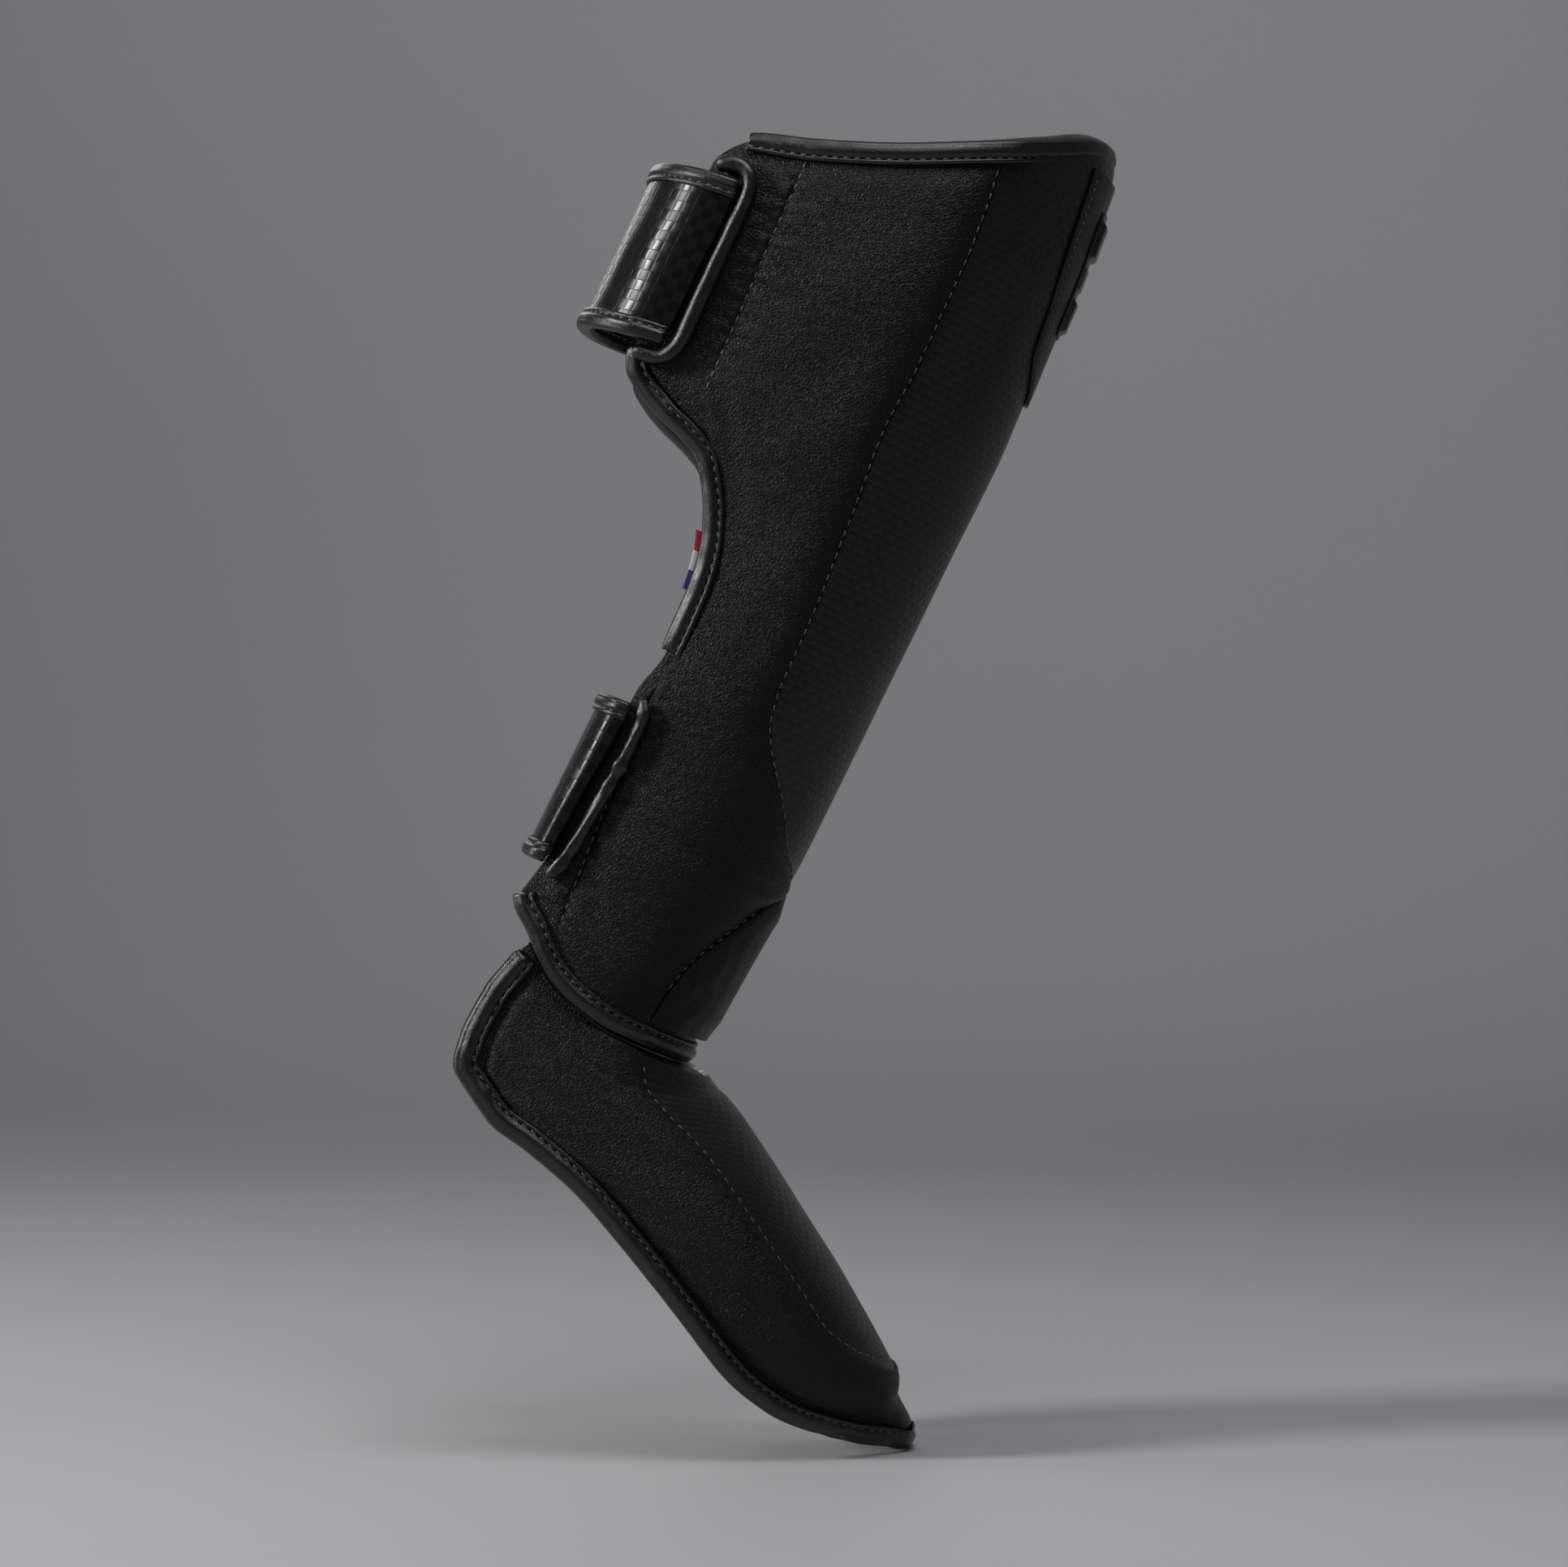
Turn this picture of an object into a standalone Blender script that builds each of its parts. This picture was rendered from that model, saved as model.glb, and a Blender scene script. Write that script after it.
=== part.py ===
import bpy
import bmesh
import math
from mathutils import Vector

# Driving dimensions, metres. +X is the toe side, -Y the outer side of the leg, +Z up.
SHIN_LENGTH = 0.396
SHIN_DEPTH = 0.154
SHIN_HALF = 0.069
FOOT_LENGTH = 0.245
FOOT_DEPTH = 0.079
FOOT_HALF = 0.058
SHIN_LEAN = math.radians(26.3)
FOOT_LEAN = math.radians(32.0)
SEAT_ALONG = 0.497          # share of the shin length at the leg seat
SEAT_WALL = 0.020           # padded wall in front of the seat
ANKLE_X = -0.0695
ANKLE_Z = -0.1896

SHIN_FRONT_WALL = 0.0195
SHIN_SIDE_WALL = 0.012
EDGE_WALL = 0.0075
FOOT_FRONT_WALL = 0.014
FOOT_SIDE_WALL = 0.009
FOOT_EDGE_WALL = 0.006
PANEL_RECESS = 0.0020
PANEL_LOW = 0.0017
PANEL_HIGH = 0.0002
GAP = 0.00035
LEATHER = 0.0016
BINDING_REACH = 0.007
PIPING_RADIUS = 0.0031
STRAP_THICK = 0.003
UPPER_STRAP_TOP = -0.0405
UPPER_STRAP_BOTTOM = 0.0282
LOWER_STRAP_TOP = 0.157
LOWER_STRAP_BOTTOM = 0.226
SOLE_STRAP_THICK = 0.0016

# Shares along the shin against shares of the named size.
FRONT_SET = ((0.0, .088), (.025, .060), (.056, .049), (.088, .041), (.13, .030), (.195, .021),
             (.26, .010), (.335, .001), (.79, 0.0), (.85, .014), (.94, .027), (1.0, .033))
HALF_WIDTH = ((0.0, .93), (.157, 1.0), (.308, .955), (.46, .865), (.61, .80), (.763, .755),
              (.914, .74), (1.0, .745))
WIDEST = ((0.0, .40), (.157, .44), (.308, .43), (.46, .375), (.61, .335), (.763, .33),
          (.914, .34), (1.0, .345))
CURL = ((0.0, .20), (.31, .22), (.41, .21), (.47, .12), (.65, .10), (.80, .13), (1.0, .12))
REAR_EDGE = ((.162, .922), (.182, .968), (.196, .985), (.308, .98), (.39, .958), (.411, .935),
             (.424, .89), (.435, .829), (.444, .758), (.455, .695), (.47, .656), (.502, .604),
             (.54, .567), (.581, .551), (.644, .547), (.692, .571), (.768, .573), (.869, .587),
             (.919, .61))
TOP_EDGE = ((.05, .004), (.09, .006), (.234, .037), (.416, .077), (.597, .113), (.76, .139),
            (.935, .163), (.987, .182))
HEM = ((.03, .995), (.227, .995), (.357, .987), (.429, .977), (.487, .962), (.539, .944),
       (.591, .929), (.617, .914))
SEAM = ((0.0, .83), (.076, .83), (.116, .80), (.184, .775), (.288, .78), (.37, .81), (.55, .82),
        (.61, .825), (.652, .80), (.68, .737), (.706, .627), (.732, .50), (.766, .33), (.795, .08),
        (.808, .10), (.831, .30), (.857, .41), (.88, .49), (.908, .57), (.957, .62), (1.0, .63))
QUILT = ((.157, .766), (.29, .753), (.399, .737), (.419, .721), (.439, .682), (.455, .636),
         (.47, .604), (.485, .578), (.52, .536), (.56, .503), (.60, .497), (.644, .500),
         (.675, .523), (.707, .523), (.765, .513), (.861, .494), (.937, .474))
BADGE_EDGE = ((.025, .39), (.076, .355), (.13, .328), (.174, .28), (.217, .25), (.237, .19),
              (.255, .10), (.270, .03))

# Foot stations: front along, front set, rear along, rear set (shares), half width share.
FOOT = ((1, .004, -.027, -.308, .63, .853), (2, .030, -.033, -.262, .868, .88),
        (3, .053, -.051, -.216, .981, .90), (4, .090, -.065, -.135, .972, .93),
        (5, .139, -.071, -.057, .886, .957), (6, .208, -.075, .045, .791, .983),
        (7, .284, -.075, .186, .729, 1.0), (8, .362, -.077, .286, .696, .983),
        (9, .437, -.070, .404, .665, .922), (10, .512, -.058, .502, .570, .793),
        (11, .569, -.042, .571, .424, .621), (12, .604, .014, .626, .278, .450),
        (13, .645, .025, .656, .178, .300), (14, .662, .050, .671, .155, .200))
FOOT_SEAM = ((0, .70), (1, .74), (3, .74), (5, .69), (7, .71), (9, .71), (9.7, .60), (10, .50),
             (10.5, .33), (11, .09), (11.5, .14), (12.5, .34), (14, .45))

ROWS = (0, .026, .065, .11, .16, .21, .26, .295, .325, .35, .375, .40, .43, .47, .52, .57, .62, .67,
        .72, .765, .806, .86, .91, .95, .976, 1.0)
CALF_FIRST, CALF_LAST = 9, 17
TIP_ROW = 20
FOOT_ROWS = (0, .5, 1, 2, 3, 4, 5, 5.7, 6.4, 7.1, 7.8, 8.4, 9, 9.5, 10, 10.5, 11, 11.4, 12, 12.6,
             13.2, 13.6, 14)
FOOT_TIP_ROW = 16


def smooth(table, x, column=1):
    last = len(table) - 1
    if x <= table[0][0]:
        return table[0][column]
    if x >= table[last][0]:
        return table[last][column]
    i = 0
    while table[i + 1][0] < x:
        i += 1

    def secant(k):
        return (table[k + 1][column] - table[k][column]) / (table[k + 1][0] - table[k][0])

    def slope(k):
        if k == 0:
            return secant(0)
        if k == last:
            return secant(last - 1)
        a, b = secant(k - 1), secant(k)
        return 0.0 if a * b <= 0 else 2 * a * b / (a + b)

    h = table[i + 1][0] - table[i][0]
    t = (x - table[i][0]) / h
    return ((1 + 2 * t) * (1 - t) ** 2 * table[i][column] + t * t * (3 - 2 * t) * table[i + 1][column]
            + h * t * (1 - t) ** 2 * slope(i) - h * t * t * (1 - t) * slope(i + 1))


def ramp(x, lo, hi):
    t = min(1.0, max(0.0, (x - lo) / (hi - lo)))
    return t * t * (3 - 2 * t)


def section(a, front, widest, rear, half, curl, off):
    if a <= 1:
        th = a * math.pi / 2
        d = front + (widest - front) * (1 - math.cos(th))
        y = half * math.sin(th)
        nd, ny = -half * math.cos(th), (widest - front) * math.sin(th)
    else:
        t = a - 1
        d = widest + (rear - widest) * t
        y = half * (1 - curl * t * t)
        nd, ny = 2 * curl * half * t, rear - widest
    n = math.hypot(nd, ny)
    return d + off * nd / n, y + off * ny / n


def shin_row(s):
    k = s / SHIN_LENGTH
    return (SHIN_DEPTH * smooth(FRONT_SET, k), SHIN_DEPTH * smooth(WIDEST, k),
            SHIN_DEPTH * smooth(REAR_EDGE, k), SHIN_HALF * smooth(HALF_WIDTH, k), smooth(CURL, k))


def shin_world(s, d, y):
    a, b = s - SEAT_ALONG * SHIN_LENGTH, d - SEAT_WALL
    return Vector((-a * math.sin(SHIN_LEAN) - b * math.cos(SHIN_LEAN), y,
                   -a * math.cos(SHIN_LEAN) + b * math.sin(SHIN_LEAN)))


def shin_point(s, a, off=0.0):
    d, y = section(abs(a), *shin_row(s), off)
    return shin_world(s, d, math.copysign(y, a) if a else 0.0)


def depth_to_a(s, d):
    front, widest, rear, half, curl = shin_row(s)
    if d <= widest:
        return math.acos(max(-1, 1 - max(0.0, d - front) / (widest - front))) * 2 / math.pi
    return 1 + (d - widest) / (rear - widest)


def calf_open(k):
    return ramp(k, .34, .40) * (1 - ramp(k, .66, .72))


def shin_columns(s):
    k = s / SHIN_LENGTH
    seam = smooth(SEAM, k)
    quilt = min(depth_to_a(s, SHIN_DEPTH * smooth(QUILT, k)), 1.93)
    crest = seam + .11
    return (0, seam * .25, seam * .5, seam * .75, seam, seam + .045, crest,
            crest + (quilt - crest) * .33, crest + (quilt - crest) * .70, quilt,
            2 - (2 - quilt) * (.5 + .42 * calf_open(k)), 2.0)


def shin_s(edge, column):
    s = SHIN_LENGTH * (.1 if edge is TOP_EDGE else .95)
    for _ in range(12):
        d = section(shin_columns(s)[column], *shin_row(s), 0.0)[0]
        s = SHIN_LENGTH * smooth(edge, d / SHIN_DEPTH)
    return s


HALF_COLUMNS = 11
EDGE_S = [(shin_s(TOP_EDGE, j), shin_s(HEM, j)) for j in range(HALF_COLUMNS + 1)]


def shin_grid_at(row, column):
    lo, hi = EDGE_S[abs(column)]
    s = lo + (hi - lo) * ROWS[row]
    return s, math.copysign(shin_columns(s)[abs(column)], column) if column else 0.0


def shin_relief(row, column, s):
    k = s / SHIN_LENGTH
    rim = ramp(ROWS[row], .026, .065) * (1 - ramp(ROWS[row], .90, .95))
    wing = 1 - calf_open(k)
    c = abs(column)
    if c <= 4:
        return -PANEL_RECESS
    heights = {5: .0004, 6: .0014, 7: .0012, 8: .0008, 9: -.0012 * wing, 10: .0008 * wing, 11: 0.0}
    return heights[c] * rim


def shin_wall(row, a):
    a = abs(a)
    if a < 1:
        w = SHIN_FRONT_WALL + (SHIN_SIDE_WALL - SHIN_FRONT_WALL) * ramp(a, .2, 1)
    else:
        w = SHIN_SIDE_WALL + (EDGE_WALL - SHIN_SIDE_WALL) * ramp(a, 1, 1.75)
    rim = ramp(ROWS[row], .026, .13) * (1 - ramp(ROWS[row], .85, .95))
    return EDGE_WALL + (w - EDGE_WALL) * rim


def shin_span(rows, columns, offset, shrink=1.0):
    grid = []
    for i in rows:
        line = []
        for j in columns:
            s, a = shin_grid_at(i, j)
            a *= shrink if abs(j) == columns[-1] else 1
            line.append(shin_point(s, a, offset(i, j, s, a)))
        grid.append(line)
    return grid


def foot_station(t):
    u0, e0, u1, e1, half = (smooth(FOOT, t, c) for c in range(1, 6))
    start = Vector((FOOT_LENGTH * u0, FOOT_DEPTH * e0))
    end = Vector((FOOT_LENGTH * u1, FOOT_DEPTH * e1))
    length = (end - start).length
    return start, (end - start) / length, length - .002, FOOT_HALF * half


def foot_fan(t, a, off):
    start, way, length, half = foot_station(t)
    x, y = section(abs(a), 0.0, length * (.46 + .06 * ramp(t, 9, 14)), length, half, .06, off)
    u, e = start + way * x
    sn, cs = math.sin(FOOT_LEAN), math.cos(FOOT_LEAN)
    return Vector((ANKLE_X + u * sn - e * cs, math.copysign(y, a) if a else 0.0,
                   ANKLE_Z - u * cs - e * sn))


def hem_s(a):
    s = SHIN_LENGTH * .97
    for _ in range(12):
        s = SHIN_LENGTH * smooth(HEM, section(a, *shin_row(s), 0.0)[0] / SHIN_DEPTH)
    return s


def hem_point(a, off):
    a2 = abs(a) if abs(a) <= 1 else 1 + (abs(a) - 1) * .66
    s = hem_s(a2)
    p = shin_point(s, a2)
    n = (shin_point(s, a2, .001) - p).normalized()
    way = shin_point(hem_s(a2 + .03), a2 + .03) - shin_point(hem_s(max(a2 - .03, 0)), max(a2 - .03, 0))
    way = (way - n * way.dot(n)).normalized()
    down = way.cross(n)
    if down.dot(shin_point(s + .001, a2) - p) < 0:
        down = -down
    p = p + down * (LEATHER + 3 * GAP) + n * (off - .0024 + .005 * (1 - ramp(a2, 0, .9)))
    return Vector((p.x, math.copysign(p.y, a) if a else 0.0, p.z))


def foot_base(t, a):
    if t >= 1:
        return foot_fan(t, a, 0.0)
    return hem_point(a, 0.0).lerp(foot_fan(1, a, 0.0), t)


def foot_point(t, a, off=0.0):
    p = foot_base(t, a)
    if not off:
        return p
    along = foot_base(min(t + .06, 14), a) - foot_base(max(t - .06, 0), a)
    n = along.cross(foot_base(t, a + .02) - foot_base(t, a - .02)).normalized()
    u = max(t, 1)
    if n.dot(foot_fan(u, a, .001) - foot_fan(u, a, 0.0)) < 0:
        n = -n
    v = n * off
    if t < 1:
        down = Vector((-math.sin(SHIN_LEAN), 0, -math.cos(SHIN_LEAN)))
        v -= down * min(v.dot(down), 0) * (1 - t)
    return p + v


def foot_columns(t):
    seam = smooth(FOOT_SEAM, t)
    return (0, seam * .33, seam * .67, seam, seam + .07, seam + .18,
            seam + .18 + (1.82 - seam) * .33, seam + .18 + (1.82 - seam) * .68, 2.0)


FOOT_HALF_COLUMNS = 8


def foot_span(rows, columns, offset, shrink=1.0):
    grid = []
    for i in rows:
        t = FOOT_ROWS[i]
        line = []
        for j in columns:
            a = math.copysign(foot_columns(t)[abs(j)], j) if j else 0.0
            a *= shrink if abs(j) == columns[-1] else 1
            line.append(foot_point(t, a, offset(i, j, t, a)))
        grid.append(line)
    return grid


def foot_relief(i, j, t, a):
    if abs(j) <= 3:
        return -PANEL_RECESS * (1 - ramp(t, 11, 12))
    heights = {4: .0003, 5: .0012, 6: .0008, 7: .0004, 8: 0.0}
    return heights[abs(j)] * ramp(t, .2, 1) * (1 - ramp(t, 10.5, 12.5))


def foot_wall(i, j, t, a):
    a = abs(a)
    if a < 1:
        w = FOOT_FRONT_WALL + (FOOT_SIDE_WALL - FOOT_FRONT_WALL) * ramp(a, .2, 1)
    else:
        w = FOOT_SIDE_WALL + (FOOT_EDGE_WALL - FOOT_SIDE_WALL) * ramp(a, 1, 1.78)
    w = EDGE_WALL + (w - EDGE_WALL) * ramp(t, 0, 1.5)
    return -(w + (.0026 - w) * ramp(t, 9, 13))


def finish_mesh(name, bm, colour, rough):
    bmesh.ops.triangulate(bm, faces=bm.faces[:])
    bmesh.ops.recalc_face_normals(bm, faces=bm.faces[:])
    mesh = bpy.data.meshes.new(name)
    bm.to_mesh(mesh)
    bm.free()
    material = bpy.data.materials.new(name + "_material")
    material.use_nodes = True
    shader = material.node_tree.nodes["Principled BSDF"]
    shader.inputs["Base Color"].default_value = (*colour, 1)
    shader.inputs["Roughness"].default_value = rough
    mesh.materials.append(material)
    obj = bpy.data.objects.new(name, mesh)
    bpy.context.scene.collection.objects.link(obj)
    return obj


def slab(name, outer, inner, colour, rough):
    bm = bmesh.new()
    faces = []
    sheets = [[[bm.verts.new(p) for p in line] for line in grid] for grid in (outer, inner)]
    rows, cols = len(outer), len(outer[0])
    for k, sheet in enumerate(sheets):
        for i in range(rows - 1):
            for j in range(cols - 1):
                quad = [sheet[i][j], sheet[i][j + 1], sheet[i + 1][j + 1], sheet[i + 1][j]]
                faces.append(quad if k == 0 else quad[::-1])
    loop = ([(0, j) for j in range(cols - 1)] + [(i, cols - 1) for i in range(rows - 1)]
            + [(rows - 1, j) for j in range(cols - 1, 0, -1)] + [(i, 0) for i in range(rows - 1, 0, -1)])
    for k in range(len(loop)):
        (i, j), (p, q) = loop[k], loop[(k + 1) % len(loop)]
        faces.append([sheets[0][p][q], sheets[0][i][j], sheets[1][i][j], sheets[1][p][q]])
    for f in faces:
        bm.faces.new(f)
    return finish_mesh(name, bm, colour, rough)


def sweep(name, stations, profile, colour, rough):
    bm = bmesh.new()
    points = [p for p, n in stations]
    rings = []
    for k, (p, n) in enumerate(stations):
        way = (points[min(k + 1, len(points) - 1)] - points[max(k - 1, 0)]).normalized()
        n = (n - way * n.dot(way)).normalized()
        side = way.cross(n)
        rings.append([bm.verts.new(p + side * x + n * y) for x, y in profile])
    return skin(name, bm, rings, [range(len(profile))], colour, rough)


def skin(name, bm, rings, caps, colour, rough):
    for k in range(len(rings) - 1):
        for j in range(len(rings[0])):
            i = (j + 1) % len(rings[0])
            bm.faces.new((rings[k][j], rings[k][i], rings[k + 1][i], rings[k + 1][j]))
    for cap in caps:
        bm.faces.new([rings[0][i] for i in reversed(cap)])
        bm.faces.new([rings[-1][i] for i in cap])
    return finish_mesh(name, bm, colour, rough)


def folded(name, stations, colour, rough, reach=BINDING_REACH, thick=LEATHER, gap=GAP):
    """Each station is outer edge, inner edge, and a point inward of each on its own face."""
    bm = bmesh.new()
    mids = [(po + pi) / 2 for po, pi, qo, qi in stations]
    out = gap + thick
    rings = []
    for k, (po, pi, qo, qi) in enumerate(stations):
        way = (mids[min(k + 1, len(mids) - 1)] - mids[max(k - 1, 0)]).normalized()

        def square(v):
            return (v - way * v.dot(way)).normalized()

        mo, mi, u = square(qo - po), square(qi - pi), square(po - pi)
        e = (mo + mi).normalized()
        e = (e - u * e.dot(u)).normalized()
        no = way.cross(mo) if way.cross(mo).dot(u) > 0 else -way.cross(mo)
        ni = way.cross(mi) if way.cross(mi).dot(u) > 0 else -way.cross(mi)
        tip = u * min(.0011, (po - pi).length * .15)
        ro = mo * min(reach, .97 * (qo - po).dot(mo))
        ri = mi * min(reach, .97 * (qi - pi).dot(mi))
        rings.append([bm.verts.new(p) for p in (
            po + ro + no * out, po + mo * .0005 + no * out, po - e * out - tip,
            pi - e * out + tip, pi + mi * .0005 - ni * out, pi + ri - ni * (out + .0008),
            pi + ri - ni * (gap + .0008), pi - e * gap - ni * gap, po - e * gap + no * gap,
            po + ro + no * gap)])
    return skin(name, bm, rings, [(0, 1, 8, 9), (1, 2, 8), (2, 3, 7, 8), (3, 4, 7), (4, 5, 6, 7)], colour,
                rough)


def round_profile(radius, sides=8):
    return [(radius * math.cos(2 * math.pi * k / sides), radius * math.sin(2 * math.pi * k / sides))
            for k in range(sides)]


BLACK = (.012, .012, .013)
all_columns = range(-HALF_COLUMNS, HALF_COLUMNS + 1)
foot_all = range(-FOOT_HALF_COLUMNS, FOOT_HALF_COLUMNS + 1)

for obj in list(bpy.data.objects):
    bpy.data.objects.remove(obj)

# Shin pad
slab("shin_shell", shin_span(range(len(ROWS)), all_columns, lambda i, j, s, a: shin_relief(i, j, s)),
     shin_span(range(len(ROWS)), all_columns, lambda i, j, s, a: -shin_wall(i, a)), BLACK, .45)
slab("shin_front_panel", shin_span(range(TIP_ROW), range(-4, 5), lambda *_: -PANEL_HIGH, .985),
     shin_span(range(TIP_ROW), range(-4, 5), lambda *_: -PANEL_LOW, .985), (.02, .02, .022), .35)


def patch_top(i, j, s, a):
    centre = 1 - (abs(j) / 4) ** 2
    return .0006 + .0026 * centre * ramp(ROWS[i], .806, .86) * (1 - .5 * ramp(ROWS[i], .95, .976))


patch_rows = range(TIP_ROW, len(ROWS) - 1)
slab("ankle_patch", shin_span(patch_rows, range(-4, 5), patch_top, .985),
     shin_span(patch_rows, range(-4, 5), lambda *_: -PANEL_LOW, .985), BLACK, .42)


def badge_grid(shares, fractions, offset):
    return [[shin_point(SHIN_LENGTH * k, f * smooth(BADGE_EDGE, k), offset(k, f)) for f in fractions]
            for k in shares]


badge_rows = (.033, .05, .076, .103, .13, .155, .18, .20, .217, .228, .24, .25, .262)
across = (-1, -.67, -.34, 0, .34, .67, 1)
slab("badge_panel", badge_grid(badge_rows, across, lambda k, f: .0017),
     badge_grid(badge_rows, across, lambda k, f: .0003), (.015, .015, .016), .4)
bar_rows = (.062, .070, .078, .108, .116, .142, .150, .158, .182, .190)
bar_height = ((.062, .0029), (.070, .0042), (.078, .0046), (.108, .0046), (.116, .0031),
              (.142, .0029), (.150, .0042), (.158, .0044), (.182, .0042), (.190, .0029))
bar_across = (-.46, -.40, -.15, .15, .40, .46)
slab("badge", badge_grid(bar_rows, bar_across, lambda k, f: smooth(bar_height, k)
                         - (.0006 if abs(f) > .44 else 0)),
     badge_grid(bar_rows, bar_across, lambda k, f: .0021), (.02, .02, .02), .35)


def shin_pair(row, column):
    s, a = shin_grid_at(row, column)
    lift = 0.0 if abs(column) <= 4 else shin_relief(row, column, s)
    return shin_point(s, a, lift), shin_point(s, a, -shin_wall(row, a))


def shin_edge_station(i, j, p, q):
    (po, pi), (qo, qi) = shin_pair(i, j), shin_pair(p, q)
    return po, pi, qo, qi


bottom = len(ROWS) - 1
folded("binding_top", [shin_edge_station(0, j, 1, j) for j in all_columns], BLACK, .4, gap=.0008)
folded("binding_bottom", [shin_edge_station(bottom, j, bottom - 1, j) for j in all_columns], BLACK, .4,
       gap=.0006)
for label, side in (("outer", -HALF_COLUMNS), ("inner", HALF_COLUMNS)):
    near = side - side // HALF_COLUMNS
    folded("binding_calf_" + label, [shin_edge_station(i, side, i, near)
                                     for i in range(CALF_FIRST, CALF_LAST)], BLACK, .4, gap=.0011)

# Tag on the inner calf edge
tag_lines = []
for k in range(6):
    s = SHIN_LENGTH * (.515 + .06 * k / 5)
    p, q = shin_point(s, 2.0, -EDGE_WALL / 2), shin_point(s, 1.9, -EDGE_WALL / 2)
    n = shin_point(s, 2.0, .001) - shin_point(s, 2.0)
    tag_lines.append((p, (p - q).normalized(), n.normalized()))
slab("tag", [[p + w * r + n * .0006 for r in (.0036, .0086)] for p, w, n in tag_lines],
     [[p + w * r - n * .0006 for r in (.0036, .0086)] for p, w, n in tag_lines], (.5, .06, .06), .7)


# Straps
def upper_path(s, x, off):
    """x runs -1 at the outer end to 1 at the inner end."""
    lap = .137
    y0 = lap_half(s, lap, UPPER_STRAP_TOP, UPPER_STRAP_BOTTOM) + .0053 + off
    return bent(x, lap, .1705 - lap + off, y0, 2.6)


def lower_path(s, x, off):
    lap = .0860 + .004 * (s - .122 - LOWER_STRAP_TOP) / (LOWER_STRAP_BOTTOM - LOWER_STRAP_TOP)
    y0 = lap_half(s, lap, LOWER_STRAP_TOP, LOWER_STRAP_BOTTOM) + .0049 + off
    return bent(x, lap, .0980 - lap + off, y0, 3.2)


def lap_half(s, lap, top, bottom):
    ends = [section(depth_to_a(e + .122, lap), *shin_row(e + .122), 0.0)[1] for e in (top, bottom)]
    return ends[0] + (ends[1] - ends[0]) * (s - .122 - top) / (bottom - top)


def bent(x, centre, reach, half, power):
    ang = math.pi / 2 * (1 - abs(x))
    d = centre + reach * math.sin(ang) ** (2 / power)
    return d, math.copysign(half * math.cos(ang) ** (2 / power), x) if x else 0.0


def strap_x(k, n):
    x = 2 * k / n - 1
    return math.copysign(abs(x) ** .85, x)


def strap(name, path, top, bottom, drop, steps, colour):
    def grid(off):
        lines = []
        for r in (0, .09, .5, .91, 1):
            line = []
            for k in range(steps + 1):
                x = strap_x(k, steps)
                s = top + (bottom - top) * r + .122
                d, y = path(s, x, off)
                line.append(shin_world(s + drop * (1 - x * x), d, y))
            lines.append(line)
        return lines
    slab(name, grid(STRAP_THICK / 2), grid(-STRAP_THICK / 2), colour, .5)
    for label, s0, inward in (("top", top + .122, 1), ("bottom", bottom + .122, -1)):
        stations = []
        for k in range(steps + 1):
            x = strap_x(k, steps)
            fall = drop * (1 - x * x)
            stations.append([shin_world(s1 + fall, *path(s1, x, off))
                             for s1 in (s0, s0 + .006 * inward)
                             for off in (STRAP_THICK / 2, -STRAP_THICK / 2)])
        folded(name + "_edge_" + label, stations, BLACK, .45, .0058, .0011)


EDGE_ROOM = .0012
strap("strap_upper", upper_path, UPPER_STRAP_TOP + EDGE_ROOM, UPPER_STRAP_BOTTOM - EDGE_ROOM, .005,
      18, (.05, .05, .052))
strap("strap_lower", lower_path, LOWER_STRAP_TOP + EDGE_ROOM, LOWER_STRAP_BOTTOM - EDGE_ROOM, .001,
      16, (.05, .05, .052))


def piping(name, path, radius, colour):
    stations = []
    for s, d in path:
        s += .122
        a = depth_to_a(s, d)
        n = shin_point(s, -a, 1.0) - shin_point(s, -a)
        p = shin_point(s, -a, radius + .0013)
        stations.append((p, n))
    return sweep(name, stations, round_profile(radius), colour, .4)


piping("strap_upper_frame", ((-.0425, .1475), (-.0460, .1420), (-.0465, .1365), (-.0430, .1325),
                             (-.0370, .1310), (-.022, .1308), (-.006, .1305), (.010, .1300),
                             (.023, .1295), (.0300, .1312), (.0335, .1350), (.0340, .1410),
                             (.0345, .1455)), PIPING_RADIUS, BLACK)
piping("strap_lower_frame", ((.1530, .0825), (.1560, .0800), (.162, .0788), (.172, .0786),
                             (.183, .0788), (.194, .0795), (.205, .0803), (.216, .0812),
                             (.2245, .0825), (.2310, .0850)), .0026, BLACK)

# Foot pad
foot_rows = range(len(FOOT_ROWS))
slab("foot_shell", foot_span(foot_rows, foot_all, foot_relief),
     foot_span(foot_rows, foot_all, foot_wall), BLACK, .45)
slab("foot_front_panel", foot_span(range(2, FOOT_TIP_ROW + 1), range(-3, 4), lambda *_: -PANEL_HIGH, .95),
     foot_span(range(2, FOOT_TIP_ROW + 1), range(-3, 4), lambda *_: -PANEL_LOW, .95), (.02, .02, .022), .35)


def foot_pair(t, j):
    a = math.copysign(foot_columns(t)[abs(j)], j) if j else 0.0
    lift = 0.0 if abs(j) <= 3 else foot_relief(0, j, t, a)
    return foot_point(t, a, lift), foot_point(t, a, foot_wall(0, j, t, a))


def foot_edge_station(i, j):
    t = max(FOOT_ROWS[i], .2)
    po, pi = foot_pair(t, j)
    if abs(j) == FOOT_HALF_COLUMNS:
        qo, qi = foot_pair(t, j - j // FOOT_HALF_COLUMNS)
    if i == len(FOOT_ROWS) - 1:
        ro, ri = foot_pair(FOOT_ROWS[i - 2], j)
        qo, qi = (qo.lerp(ro, .5), qi.lerp(ri, .5)) if abs(j) == FOOT_HALF_COLUMNS else (ro, ri)
    return po, pi, qo, qi


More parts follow.
